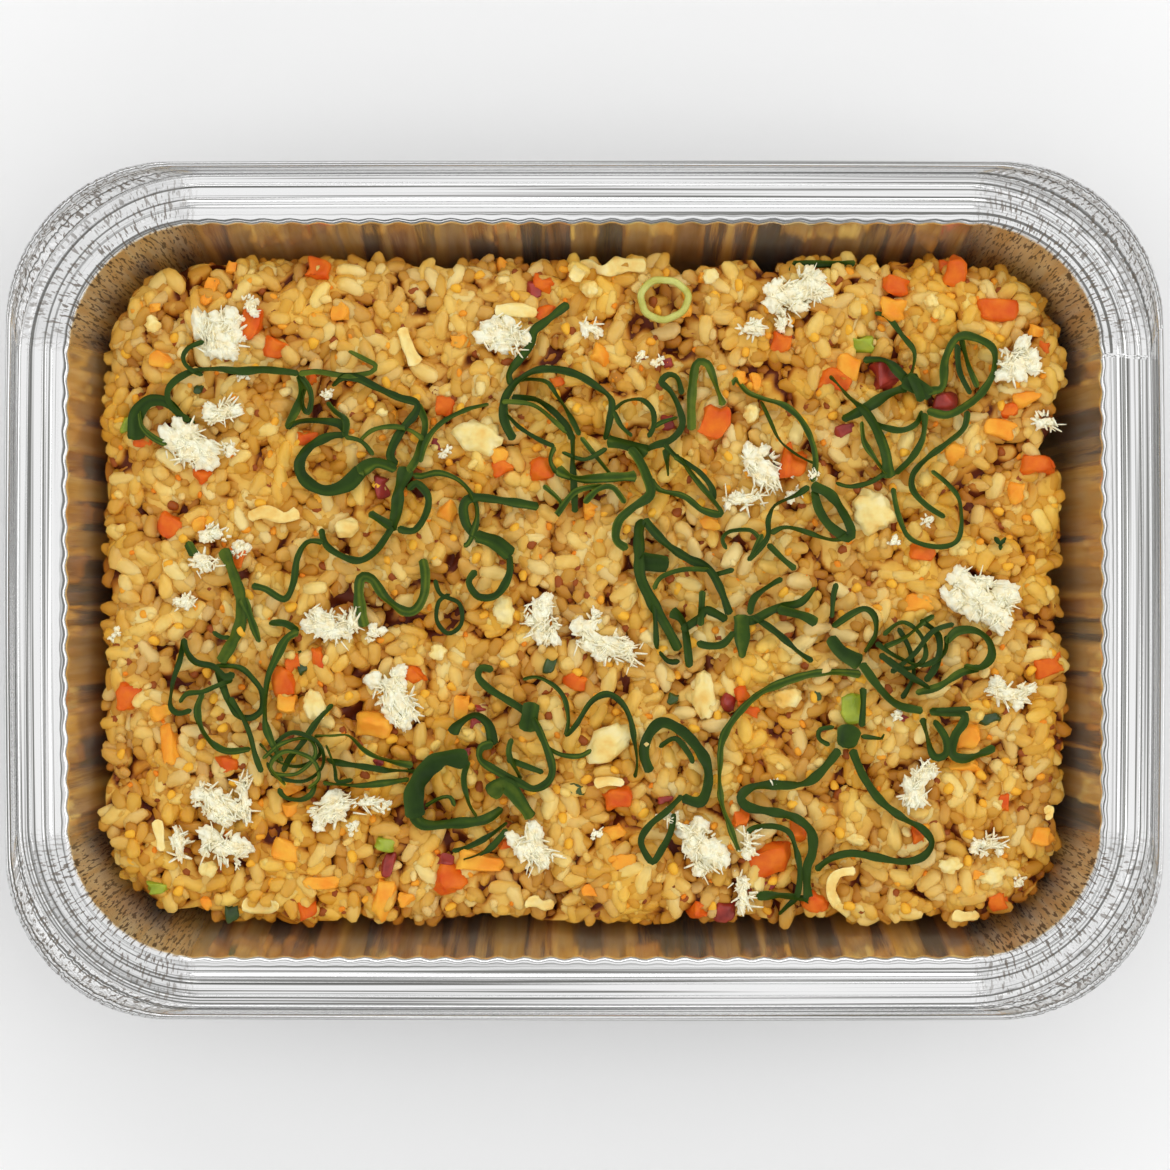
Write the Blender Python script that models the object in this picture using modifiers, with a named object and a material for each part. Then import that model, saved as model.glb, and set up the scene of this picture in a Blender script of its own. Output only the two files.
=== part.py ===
"""An oblong foil tray, its lip turned up and out, filled with fried rice. On the rice lie curls of
shredded spring onion leaf, flakes of shredded white meat, pieces of egg and a slice of leek.
Metres, +Z up. The origin is on the table, under the middle of the tray. +X runs along its length."""

import math
import random

import bmesh
import bpy
from mathutils import Vector, noise
from mathutils.bvhtree import BVHTree

MM = 0.001

# The tray, measured over the lip. Insets are from this outline.
TRAY_LENGTH = 308 * MM
TRAY_WIDTH = 228 * MM
OUTER_CORNER = 42.5 * MM
CORNER_STEPS = 7
FOIL = 0.6 * MM
LIP_TOP = 50 * MM
LIP_ROLL = 0.9 * MM
LIP_FOOT_INSET = 3.2 * MM
LIP_FOOT_CORNER = 48 * MM
RIM_LEVEL = 46 * MM
RIB_INSETS = (5.6 * MM, 9.4 * MM)
RIB_WIDTH = 2.5 * MM
RIB_HEIGHT = 0.6 * MM
RIB_SLOPE = 0.6 * MM
WELL_INSET = 15.4 * MM
WELL_CORNER = 35 * MM
WALL_TOP = 44 * MM
WALL_TOP_INSET = 16.6 * MM
WALL_FOOT = 7 * MM
WALL_DRAFT = math.radians(15)
FILLET_INSET = 1.9 * MM
FILLET_LEVEL = 2.6 * MM
BASE_INSET = 6.6 * MM

# The rice: where it meets the wall, how it rounds over, and how high it stands in the middle
RICE_GAP = 0.6 * MM
CONTACT_LEVEL = 25 * MM
SHOULDER_RISE = 9.5 * MM
SHOULDER_WIDTH = 12 * MM
CORNER_SLUMP = 2.5 * MM
MIDDLE_RISE = 3.0 * MM
LUMP_SIZE = 17 * MM
LUMP_HEIGHT = 1.3 * MM
GRAIN_BUMP = 0.75 * MM
GRID_ALONG = 46
GRID_ACROSS = 33
# Hollows that show dark at the edge of the heap: place, reach and depth
HOLLOWS = (
    (-126, 60, 7, 5), (-126, 23, 7, 4), (-127, -37, 7, 5), (-118, -52, 5, 2), (-101, -88, 9, 5),
    (-7, -86, 6, 8), (20, -91, 8, 4), (49, -87, 8, 5), (120, -75, 8, 5), (127, 11, 8, 7),
    (133, 30, 6, 3), (118, 87, 9, 5), (25, 92, 7, 5), (-82, 91, 7, 3), (79, 55, 4, 3),
    (-50, 93, 8, 3), (-109, 72, 4, 3), (67, -26, 4, 3), (-33, -89, 9, 3), (45, 91, 7, 3),
)  # fmt: skip

# Toppings lie on the grains with this much air under them, which meshes need
REST_GAP = 0.35 * MM
SHRED_THICKNESS = 0.75 * MM
SHRED_STEP = 7 * MM

# Shreds of spring onion leaf in the clumps that they lie in: width at the start and at the end,
# then the places that each runs through, in millimetres from the middle of the tray.
SHREDS = {
    "curl_upper_left": (
        (1.2, 3.6, (-121, 37), (-120, 46), (-116, 51), (-111, 50), (-107.5, 47)),
        (1.2, 1.0, (-120, 46.5), (-118, 42.5), (-115, 40)),
        (1.3, 1.3, (-111, 48), (-111, 54), (-106, 58.5), (-96, 58.8), (-84, 59.4), (-76, 57.5)),
        (1.1, 0.8, (-77, 58.5), (-66, 58), (-58, 57.8), (-55, 60), (-63, 64.5)),
        (1.4, 2.6, (-67, 54), (-61, 57.2), (-50, 52), (-44, 47), (-45, 38), (-50, 30), (-50, 17)),
        (1.6, 2.2, (-75.8, 58), (-76, 51), (-79, 45), (-70, 45.4), (-64, 42.5), (-65, 39.8)),
        (1.8, 3.2, (-63.5, 41.3), (-73, 40.5), (-76, 33), (-70, 27), (-62, 29), (-55, 34), (-48, 34)),
        (1.1, 1.1, (-51, 17.5), (-46, 16.3), (-42, 22), (-44, 28.5), (-48, 25), (-50, 19)),
        (1.1, 1.4, (-48.5, 30.5), (-39, 31.6), (-32, 28), (-29.5, 19), (-31.5, 13)),
        (2.0, 2.0, (-13, 22.5), (-22, 24.3), (-30.5, 25), (-32.5, 19.5), (-27, 13.5), (-20.5, 9)),
        (1.2, 1.2, (-50, 18), (-54, 11.5), (-61, 8.7), (-68, 12), (-71, 16)),
        (1.4, 1.4, (-68.5, 13), (-74, 13.3), (-78, 7), (-81, -0.5), (-88, 1.5)),
        (1.0, 0.9, (-46.5, 34), (-41, 41.5), (-34, 48), (-24.5, 50)),
    ),
    "curl_left": (
        (1.6, 1.4, (-94, 9), (-91.5, 0), (-92, -11), (-98, -21)),
        (2.2, 0.8, (-92, 3), (-90, -4), (-86.5, -14)),
        (1.2, 1.2, (-107.5, -12.5), (-103, -18.5), (-90, -22), (-86.5, -29), (-91, -34), (-97, -25)),
        (1.1, 1.1, (-107, -13), (-110.5, -24), (-110, -32), (-105, -31.5)),
        (1.1, 1.1, (-108.5, -29.5), (-102, -26.8), (-96, -24), (-91.5, -21)),
        (1.8, 1.8, (-101.5, -26), (-104, -34), (-98, -42), (-88, -42.5), (-82, -46)),
        (2.0, 1.3, (-76.5, -11.5), (-82, -17), (-85.5, -30), (-82, -43), (-75, -49)),
        (1.2, 1.2, (-67, -31), (-73, -38.5), (-82, -48.5), (-81, -55), (-74, -55), (-73, -48)),
        (1.3, 1.3, (-88, -44), (-80, -49), (-73, -45), (-77.5, -40), (-83, -44)),
    ),
    "curl_lower_left": (
        (1.6, 2.2, (-69, -39), (-62.5, -40), (-54, -45.5), (-41, -47.5)),
        (1.8, 1.8, (-69.5, -51.8), (-60, -51.5), (-46, -50)),
        (3.6, 3.6, (-48.5, -58), (-45, -51), (-38, -46), (-32, -45)),
        (1.3, 1.0, (-33, -45), (-32.5, -53), (-30, -60.5)),
        (3.2, 2.4, (-48, -52), (-46, -61), (-35, -61.5), (-24, -58.5), (-19, -51.5), (-12, -52.5)),
        (1.6, 1.3, (-23, -58), (-22, -64), (-32.5, -71.8)),
        (1.4, 1.6, (-24, -20.5), (-29, -21.5), (-28, -26.5), (-20, -30), (-13, -37)),
        (3.0, 2.2, (-36.5, -38), (-33, -34.5), (-27, -33), (-23.5, -41), (-21.5, -50)),
        (1.8, 1.8, (-24, -39), (-28, -44), (-17, -50.5), (-10, -50), (-10, -43), (-14.5, -35)),
        (1.5, 1.0, (-13, -37), (-7.5, -43.5), (1, -42.5)),
        (3.0, 2.6, (-19, -50), (-17.5, -55), (-15.5, -60)),
        (1.0, 1.2, (-17, -24), (-10, -23.5), (-4.8, -31), (-4.5, -38.5), (-12, -38.5)),
        (1.2, 1.2, (-5, -38.5), (1, -31), (6, -27.5), (10.5, -30.5), (12.3, -38)),
    ),
    "curl_lower_middle": (
        (3.0, 1.8, (15.5, -48), (16.5, -38.5), (22, -35.5), (30.5, -42), (32.4, -49), (29.5, -56)),
        (1.4, 1.4, (18, -46), (20, -39.5), (27, -41), (31.5, -48), (31.5, -54.5)),
        (1.8, 2.2, (31, -55), (22, -59.5), (15, -66.5), (18.5, -73.5)),
        (1.4, 1.4, (25.5, -58), (23, -66), (19, -72)),
    ),
    "curl_upper_middle": (
        (1.2, 1.2, (-4.5, 77), (-13, 70.5), (-14, 65.5), (-20.3, 56)),
        (2.4, 1.6, (-18.5, 41), (-21.5, 49), (-16, 58), (-6, 59), (5, 53), (6.5, 42), (3, 30)),
        (1.9, 1.6, (-20.5, 52), (-11, 51), (-4, 42), (-1, 30)),
        (1.2, 1.2, (-20, 57), (-10, 56.5), (-3, 44.5), (1, 30)),
        (2.8, 2.8, (-7, 29.6), (4, 29.4), (17, 30)),
        (1.1, 1.1, (7, 48.5), (12, 51), (18, 48.5), (17.5, 41.5), (10, 43.5), (6.5, 50)),
        (1.8, 1.8, (5.5, 38), (17, 39), (25, 43), (28.5, 52)),
        (2.3, 2.3, (28.5, 44), (29, 53), (32, 61), (35, 55), (37.5, 50)),
        (3.4, 2.2, (5.5, 36.5), (14, 35), (18, 28), (12, 21.5), (8.8, 15)),
        (1.3, 1.3, (19.5, 39.5), (27, 32.5), (37, 20.5)),
        (1.3, 1.3, (17.5, 28), (26, 25.5), (36, 20.8)),
        (1.6, 1.6, (0, 29), (-3, 25), (-7.5, 20.5)),
    ),
    "curl_right_of_middle": (
        (1.3, 1.3, (39.5, 55), (46, 52.3), (57, 46.5), (61.5, 36), (61, 28.5)),
        (1.0, 1.0, (46.5, 52.5), (51, 43), (61, 34)),
        (2.0, 1.2, (60.5, 30.5), (69, 22), (71, 14), (60, 16), (49.5, 16.5)),
        (1.2, 1.2, (61, 30), (62.5, 23.5), (71, 16)),
        (1.1, 1.1, (61, 30), (51, 23), (48.8, 13), (43, 6.5), (37, 10), (41, 16.5), (50, 15.8)),
        (1.1, 1.1, (50.5, 16.5), (58, 11), (64, 4)),
    ),
    "curl_middle": (
        (3.0, 1.4, (15, 19.5), (14.6, 8), (18, -3), (25, -13.5), (28.5, -6.5)),
        (2.8, 1.8, (15.2, 19), (24, 11.5), (34, 7), (35, 1), (40, -7)),
        (4.6, 3.0, (12.5, 8.6), (20.5, 7.6)),
        (1.8, 2.2, (18, -3), (27, -9), (28.5, -19)),
        (1.6, 1.6, (27.5, -11), (31, -3), (38.5, -5)),
        (3.8, 2.0, (41, -4), (42, -18)),
        (2.0, 2.4, (27.5, -12.8), (36, -13.8), (42, -11)),
        (2.6, 1.8, (40, -8), (50, -6), (60, -8.5)),
        (1.5, 1.5, (44, -7.5), (54, -14), (61, -18.8)),
    ),
    "curl_right": (
        (1.3, 1.5, (42, -31.8), (54, -25), (66, -22.2), (78, -22)),
        (1.1, 1.8, (43, -31), (36, -42), (36, -54), (41.5, -70.5)),
        (1.5, 1.8, (65, -9), (75, -5), (79.5, -11), (77, -20), (83, -30)),
        (1.3, 1.2, (78, -12), (86, -12.5), (92, -7)),
        (1.6, 1.6, (91, -8), (96, -13), (93, -21), (82, -25)),
        (1.8, 1.6, (95, -13.5), (103, -10.3), (108.5, -15.5), (104, -21), (90, -27.5)),
        (2.4, 2.4, (77, -15), (85, -22), (90.5, -33)),
        (2.0, 2.0, (80, -29), (90, -31.8), (100, -32.5), (98, -43), (102, -45.8), (110, -42.5)),
        (1.6, 1.6, (90, -31), (92, -42), (95.8, -45), (97, -39), (93, -32)),
        (1.6, 1.6, (82, -14), (88, -19), (95, -17)),
    ),
    "curl_lower_right": (
        (1.4, 2.0, (74.3, -33), (73.5, -45), (82, -58.5), (93, -66), (89, -72), (73, -70), (61, -76)),
        (2.4, 2.4, (72.5, -40), (61, -50), (44, -53), (44, -58), (60, -62), (60, -76), (62, -84)),
        (5.0, 3.4, (70, -36.5), (70, -44.5)),
        (1.6, 1.8, (48, -82), (55, -81.6), (61, -82.5)),
    ),
    "curl_upper_right": (
        (1.2, 1.2, (78, 75), (85, 69), (89, 62), (86.5, 55)),
        (1.9, 1.9, (74.5, 61.8), (80, 61.5), (88, 54)),
        (1.5, 2.4, (65.5, 58), (73, 49.5), (80, 40), (82, 28)),
        (3.0, 3.0, (69, 46), (77, 50), (88, 53.5)),
        (2.4, 1.5, (88, 53), (96, 58), (98, 67), (106, 67.5), (110, 61), (104, 53), (90, 48)),
        (1.4, 1.4, (101.5, 67), (103, 60), (105, 54)),
        (1.4, 1.4, (88.5, 54.5), (90.5, 44), (82.5, 31)),
        (1.1, 1.1, (89.5, 49), (85, 43.5), (82, 46.5), (86, 53)),
        (1.4, 1.2, (102.5, 52), (99, 41), (88.5, 33), (90, 24.5), (98, 20)),
        (1.3, 1.0, (82, 29), (85, 18), (96, 12), (101.5, 20), (94, 32)),
    ),
    "curl_squiggle": (
        (2.4, 2.2, (-59, -10), (-60, 2), (-57, 5), (-48, -5), (-43.5, -3), (-42.5, 9)),
    ),
}  # fmt: skip

# Shredded white meat: place, half-length, half-width and turn of each flake
FLAKES = (
    (-98, 69.5, 7.4, 4.8, 100), (-97.5, 48.3, 5.2, 2.7, 20), (-105, 39, 5.8, 3.2, -25),
    (-99, 16, 4.8, 1.9, 70), (-101.5, 7.5, 3.4, 2.6, 0), (-108, -1, 5.0, 1.7, -70),
    (-68, -8.5, 6.4, 3.6, -30), (-50.5, -28, 8.6, 4.2, -62), (-101, -57.5, 6.8, 3.0, -42),
    (-91.5, -57, 6.6, 2.0, 92), (-97, -69, 5.8, 3.2, -25), (-109.5, -69, 4.6, 1.9, 95),
    (-66.5, -59, 7.4, 2.8, 24), (-22.8, 68.5, 6.4, 4.4, -25), (54, 78.5, 9.6, 4.2, 22),
    (117.2, 60.8, 5.4, 4.6, 70), (46.5, 33.6, 6.6, 4.6, -45), (42.5, 24.4, 5.6, 1.9, 5),
    (105, -2, 7.6, 3.8, -32), (116.5, -28, 6.8, 2.3, -12), (88.4, -52.4, 6.6, 3.6, 65),
    (-11.5, -7, 7.2, 4.0, -70), (5.5, -14.5, 10.4, 3.4, -27), (-12.5, -67.8, 6.0, 3.8, -60),
    (30.5, -68.5, 6.6, 4.6, -55), (42.2, -82, 4.8, 2.0, -70),
)  # fmt: skip
FLAKE_THICKNESS = 2.8 * MM

# Scrambled egg: lumps as the flakes, and strips as the shreds
EGG_LUMPS = ((-28.5, 40, 6.6, 4.0, 70), (76.4, 22, 5.4, 4.0, 60), (6.6, -41.5, 5.8, 3.8, -55))
EGG_STRIPS = (
    (3.4, 4.2, (-2, 84), (1, 88.6), (9, 89.8), (17, 89.6)),
    (3.0, 3.2, (-49.5, 71.5), (-47, 66), (-44, 61.5)),
    (2.8, 2.4, (72, -75.5), (67.8, -76.5), (67.5, -81), (73, -87.5)),
)
EGG_THICKNESS = 2.2 * MM

# A slice of leek
LEEK_PLACE = (21.3, 78)
LEEK_RADIUS = 6.1 * MM
LEEK_WALL = 2.2 * MM

# Cubes of carrot and red meat, stirred into the rice: place, length, width and turn
CUBES = (
    (-71, 86, 6.5, 6, 20), (-90, 72, 6, 7, 10), (-82, 66, 5.5, 5, 30), (-37, 50, 5.5, 5.5, 0),
    (-9.5, 82.5, 5.5, 5.5, 15), (-8, 73.5, 5, 5, 40), (-22, 34, 6.5, 6, 25), (-12.5, 32, 6.5, 6.5, 5),
    (34.5, 43.5, 7, 7.5, 10), (53, 67, 5, 5, 15), (67, 60, 7, 6, 30), (55, 33, 6, 7, 20),
    (84, 82, 8, 4, 20), (96.5, 86, 5, 4, -40), (102, 87.5, 5, 6, 10), (110, 75, 9, 5, -35),
    (125, 35, 9, 5, 0), (113.5, 48, 4, 5, 20), (127, -21, 7, 4, -20), (-111, 17, 8, 5.5, -5),
    (-102, 31, 5, 5, 5), (-122, -28.5, 7, 7, 30), (-79.5, -23.5, 6, 8, 10), (-46, -22.5, 7, 6, 15),
    (-95.5, -46.5, 4.5, 4.5, 10), (-74.5, -85, 4.5, 5, 10), (-36, -77, 8, 6.5, -40),
    (9, -55, 6, 6, 10), (32, -86, 5.5, 5.5, 30), (47, -31, 5, 5, 10), (50, -71, 8, 7, 10),
    (112, -84, 6, 6, 20), (-54, 24, 5, 4.5, 5), (112.5, -57, 4, 4, 10), (-57, -36, 10, 5, -25),
    (-110, -40, 10, 3.5, -60), (-54, -82, 11, 4.5, 60), (118, 52, 9, 3.5, -12), (102, -39, 5, 5, 0),
)  # fmt: skip
CUBE_SHOWS = 2.0 * MM


def clear_scene():
    for obj in list(bpy.data.objects):
        bpy.data.objects.remove(obj, do_unlink=True)


def material(name, colour, roughness, metallic=0.0):
    made = bpy.data.materials.new(name)
    made.use_nodes = True
    shader = made.node_tree.nodes["Principled BSDF"]
    shader.inputs["Base Color"].default_value = (*colour, 1)
    shader.inputs["Roughness"].default_value = roughness
    shader.inputs["Metallic"].default_value = metallic
    return made


def object_of(bm, name, made_of, home):
    mesh = bpy.data.meshes.new(name)
    bm.to_mesh(mesh)
    bm.free()
    mesh.materials.append(made_of)
    obj = bpy.data.objects.new(name, mesh)
    home.objects.link(obj)
    return obj


def join(obj, others, solver="EXACT"):
    """One union of obj with every object of a collection, applied. The others are then removed."""
    modifier = obj.modifiers.new("Join", "BOOLEAN")
    modifier.operation = "UNION"
    modifier.operand_type = "COLLECTION"
    modifier.collection = others
    modifier.solver = solver
    modifier.use_self = solver == "EXACT"
    bpy.context.view_layer.update()
    graph = bpy.context.evaluated_depsgraph_get()
    obj.data = bpy.data.meshes.new_from_object(obj.evaluated_get(graph))
    obj.modifiers.clear()
    for other in list(others.objects):
        bpy.data.objects.remove(other, do_unlink=True)
    bpy.data.collections.remove(others)


def rounded_outline(inset, corner):
    """Points round the tray's outline, moved in by inset, with corners of the given radius."""
    half_x = TRAY_LENGTH / 2 - inset
    half_y = TRAY_WIDTH / 2 - inset
    points = []
    for quarter, (sign_x, sign_y) in enumerate(((1, 1), (-1, 1), (-1, -1), (1, -1))):
        for step in range(CORNER_STEPS + 1):
            angle = (quarter + step / CORNER_STEPS) * math.pi / 2
            x = sign_x * (half_x - corner) + corner * math.cos(angle)
            y = sign_y * (half_y - corner) + corner * math.sin(angle)
            points.append((x, y))
    return points


def wall_inset(level):
    return WALL_TOP_INSET + (WALL_TOP - level) * math.tan(WALL_DRAFT)


def wall_corner(inset):
    """The corners get tighter as the wall goes in."""
    return WELL_CORNER - 0.7 * (inset - WELL_INSET)


def tray_rings():
    """Inset, level and corner radius of each ring of the foil's upper face, lip first."""
    lip_corner = (OUTER_CORNER + LIP_FOOT_CORNER) / 2
    rings = [
        (0, LIP_TOP - 1.2 * LIP_ROLL, OUTER_CORNER),
        (0.3 * LIP_ROLL, LIP_TOP - 0.3 * LIP_ROLL, OUTER_CORNER),
        (LIP_ROLL, LIP_TOP, OUTER_CORNER),
        (1.8 * LIP_ROLL, LIP_TOP - 0.6 * LIP_ROLL, lip_corner),
        (LIP_FOOT_INSET, RIM_LEVEL + 0.5 * MM, LIP_FOOT_CORNER),
        (LIP_FOOT_INSET + 0.8 * MM, RIM_LEVEL, LIP_FOOT_CORNER),
    ]
    for start in RIB_INSETS:
        end = start + RIB_WIDTH
        share = (start - LIP_FOOT_INSET) / (WELL_INSET - LIP_FOOT_INSET)
        corner = LIP_FOOT_CORNER + (WELL_CORNER - LIP_FOOT_CORNER) * share
        rings += [
            (start, RIM_LEVEL, corner),
            (start + RIB_SLOPE, RIM_LEVEL + RIB_HEIGHT, corner),
            (end - RIB_SLOPE, RIM_LEVEL + RIB_HEIGHT, corner),
            (end, RIM_LEVEL, corner),
        ]
    foot = wall_inset(WALL_FOOT)
    rings += [
        (WELL_INSET, RIM_LEVEL, WELL_CORNER),
        (WALL_TOP_INSET - 0.3 * MM, RIM_LEVEL - 0.6 * MM, WELL_CORNER),
        (WALL_TOP_INSET, WALL_TOP, WELL_CORNER),
        (foot, WALL_FOOT, wall_corner(foot)),
        (foot + FILLET_INSET, FILLET_LEVEL, wall_corner(foot)),
        (foot + BASE_INSET, FOIL, wall_corner(foot + BASE_INSET)),
    ]
    return rings


def make_tray(home, foil):
    bm = bmesh.new()
    loops = []
    for inset, level, corner in tray_rings():
        outline = rounded_outline(inset, corner)
        loops.append([bm.verts.new((x, y, level)) for x, y in outline])
    for upper, lower in zip(loops, loops[1:]):
        for i in range(len(upper)):
            j = (i + 1) % len(upper)
            bm.faces.new((upper[i], upper[j], lower[j], lower[i]))
    bm.faces.new(loops[-1])
    bmesh.ops.recalc_face_normals(bm, faces=bm.faces)
    if bm.faces[-1].normal.z < 0:
        bmesh.ops.reverse_faces(bm, faces=bm.faces)
    tray = object_of(bm, "tray", foil, home)
    shell = tray.modifiers.new("Foil", "SOLIDIFY")
    shell.thickness = FOIL
    shell.offset = -1
    shell.use_even_offset = True
    return tray


def onto_outline(u, v, inset, corner):
    """Moves a point of the square from -1 to 1 into the tray's outline, its edge onto the outline's."""
    half_x = TRAY_LENGTH / 2 - inset
    half_y = TRAY_WIDTH / 2 - inset
    reach = max(abs(u), abs(v))
    if reach == 0:
        return 0.0, 0.0
    edge_x = half_x * abs(u) / reach
    edge_y = half_y * abs(v) / reach
    out = Vector((edge_x - half_x + corner, edge_y - half_y + corner))
    if min(out) > 0:
        out = out.normalized() * corner
        edge_x = half_x - corner + out.x
        edge_y = half_y - corner + out.y
    near_edge = reach**3
    x = half_x * abs(u) * (1 - near_edge) + edge_x * reach * near_edge
    y = half_y * abs(v) * (1 - near_edge) + edge_y * reach * near_edge
    return math.copysign(x, u), math.copysign(y, v)


def room_to_wall(x, y):
    """Distance in plan from the wall at the rice's edge, positive inside."""
    inset = wall_inset(CONTACT_LEVEL)
    corner = wall_corner(inset)
    out_x = abs(x) - (TRAY_LENGTH / 2 - inset - corner)
    out_y = abs(y) - (TRAY_WIDTH / 2 - inset - corner)
    beyond = Vector((max(out_x, 0), max(out_y, 0))).length
    return corner - beyond - min(max(out_x, out_y), 0)


def heap(x, y):
    """Height of the rice at a place, without its grains."""
    along = min(abs(x) / (TRAY_LENGTH / 2), 1)
    across = min(abs(y) / (TRAY_WIDTH / 2), 1)
    width = SHOULDER_WIDTH * (1 + 0.9 * along**4 * across**4)
    edge = 1 - min(max(room_to_wall(x, y), 0) / width, 1)
    shoulder = SHOULDER_RISE * math.sqrt(1 - edge * edge)
    middle = MIDDLE_RISE * (1 - along**2) * (1 - across**2)
    lump = LUMP_HEIGHT * noise.noise(Vector((x, y, 0)) / LUMP_SIZE) * 2
    level = CONTACT_LEVEL + shoulder + middle + lump * (1 - edge)
    level -= CORNER_SLUMP * along**4 * across**4 * (1 - edge)
    for place_x, place_y, reach, depth in HOLLOWS:
        away = math.hypot(x - place_x * MM, y - place_y * MM) / (reach * MM)
        level -= depth * MM * math.exp(-away * away) * (1 - edge)
    return level


def make_rice(home, cooked):
    """A closed heap: a grid bent to the wall's outline, with skirts that run down the wall."""
    rule = random.Random(11)
    bm = bmesh.new()
    bmesh.ops.create_grid(bm, x_segments=GRID_ALONG, y_segments=GRID_ACROSS, size=1)
    below = wall_inset(WALL_FOOT)
    skirts = (
        (below, WALL_FOOT + 0.4 * MM, wall_corner(below)),
        (below + BASE_INSET, FOIL + 0.45 * MM, wall_corner(below + BASE_INSET)),
    )
    edges = [edge for edge in bm.edges if edge.is_boundary]
    for _ in skirts:
        made = bmesh.ops.extrude_edge_only(bm, edges=edges)["geom"]
        edges = [item for item in made if isinstance(item, bmesh.types.BMEdge)]
        points = [item for item in made if isinstance(item, bmesh.types.BMVert)]
        bmesh.ops.translate(bm, verts=points, vec=(0, 0, -1))
    edges = [edge for edge in bm.edges if edge.is_boundary]
    bmesh.ops.contextual_create(bm, geom=edges)
    contact = wall_inset(CONTACT_LEVEL)
    for vert in bm.verts:
        depth = round(-vert.co.z)
        u, v = vert.co.x, vert.co.y
        if depth:
            inset, level, corner = skirts[depth - 1]
            x, y = onto_outline(u, v, inset + RICE_GAP, corner)
        else:
            on_edge = max(abs(u), abs(v)) > 0.999
            loose = 0 if on_edge else 0.28
            u += rule.uniform(-loose, loose) * 2 / GRID_ALONG
            v += rule.uniform(-loose, loose) * 2 / GRID_ACROSS
            x, y = onto_outline(u, v, contact + RICE_GAP, wall_corner(contact))
            level = heap(x, y) + rule.uniform(-1, 1) * GRAIN_BUMP
        vert.co = (x, y, level)
    bmesh.ops.recalc_face_normals(bm, faces=bm.faces)
    return object_of(bm, "rice", cooked, home)


def smooth_route(places, step):
    """Points about one step apart on a smooth curve through the places, in metres."""
    ends = [places[0], *places, places[-1]]
    points = []
    for before, start, end, after in zip(ends, ends[1:], ends[2:], ends[3:]):
        p0, p1, p2, p3 = (Vector(p) * MM for p in (before, start, end, after))
        count = max(1, round((p2 - p1).length / step))
        for i in range(count):
            t = i / count
            points.append(
                0.5 * (2 * p1 + (p2 - p0) * t + (2 * p0 - 5 * p1 + 4 * p2 - p3) * t * t)
                + 0.5 * (3 * p1 - p0 - 3 * p2 + p3) * t**3
            )
    points.append(Vector(places[-1]) * MM)
    return points


def resting_level(surface, x, y, reach):
    """Height just over the highest grain within reach of a place."""
    spots = [Vector((x, y, LIP_TOP))]
    for eighth in range(8):
        turn = eighth * math.pi / 4
        away = Vector((math.cos(turn), math.sin(turn), 0)) * reach
        spots += [spots[0] + away / 2, spots[0] + away]
    hits = [surface.ray_cast(spot, Vector((0, 0, -1)))[0] for spot in spots]
    return max(hit.z for hit in hits if hit) + REST_GAP


def make_strip(shape, name, made_of, home, surface, thickness, step, lift=0.0):
    """A thin strip laid over the heap, as an open ribbon that is then given its thickness."""
    start_width, end_width, *places = shape
    route = smooth_route(places, step)
    bm = bmesh.new()
    previous = None
    for i, point in enumerate(route):
        ahead = route[min(i + 1, len(route) - 1)] - route[max(i - 1, 0)]
        side = Vector((-ahead.y, ahead.x)).normalized()
        width = (start_width + (end_width - start_width) * i / (len(route) - 1)) * MM
        level = resting_level(surface, point.x, point.y, (step + width) / 2) + thickness + lift
        pair = []
        for sign in (-1, 1):
            x, y = point + side * (sign * width / 2)
            pair.append(bm.verts.new((x, y, level)))
        if previous:
            bm.faces.new((previous[0], previous[1], pair[1], pair[0]))
        previous = pair
    bmesh.ops.recalc_face_normals(bm, faces=bm.faces)
    if bm.faces[:] and sum(face.normal.z for face in bm.faces) < 0:
        bmesh.ops.reverse_faces(bm, faces=bm.faces)
    strip = object_of(bm, name, made_of, home)
    body = strip.modifiers.new("Thickness", "SOLIDIFY")
    body.thickness = thickness
    body.offset = -1
    return strip


def make_curls(home, surface, leaf):
    """Each clump of shreds is one solid. Every shred of it crosses another one."""
    for name, shreds in SHREDS.items():
        others = bpy.data.collections.new(name + "_shreds")
        bpy.context.scene.collection.children.link(others)
        for number, shape in enumerate(shreds):
            lift = 0.06 * MM * (number % 4)
            place = others if number else home
            strip = make_strip(
                shape, f"{name}_{number}", leaf, place, surface, SHRED_THICKNESS, SHRED_STEP, lift
            )
            if not number:
                clump = strip
        clump.name = name
        if len(shreds) > 1:
            join(clump, others)
        else:
            bpy.data.collections.remove(others)


def make_lump(place, name, thickness, made_of, home, surface, rule):
    """A ragged flattened lump that rests on the highest grains under it."""
    x, y, half_length, half_width, turn = place
    angle = math.radians(turn)
    along = Vector((math.cos(angle), math.sin(angle))) * half_length * MM
    across = Vector((-math.sin(angle), math.cos(angle))) * half_width * MM
    middle = Vector((x, y)) * MM
    bm = bmesh.new()
    bmesh.ops.create_uvsphere(bm, u_segments=8, v_segments=3, radius=1)
    ends = [middle + along * share for share in (-0.6, 0, 0.6)]
    level = max(resting_level(surface, *end, half_width * MM) for end in ends) + thickness / 2
    for vert in bm.verts:
        ragged = rule.uniform(0.78, 1.06)
        flat = middle + (along * vert.co.x + across * vert.co.y) * ragged
        height = level + vert.co.z * thickness / 2 * rule.uniform(0.7, 1.0)
        vert.co = (flat.x, flat.y, height)
    return object_of(bm, name, made_of, home)


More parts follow.
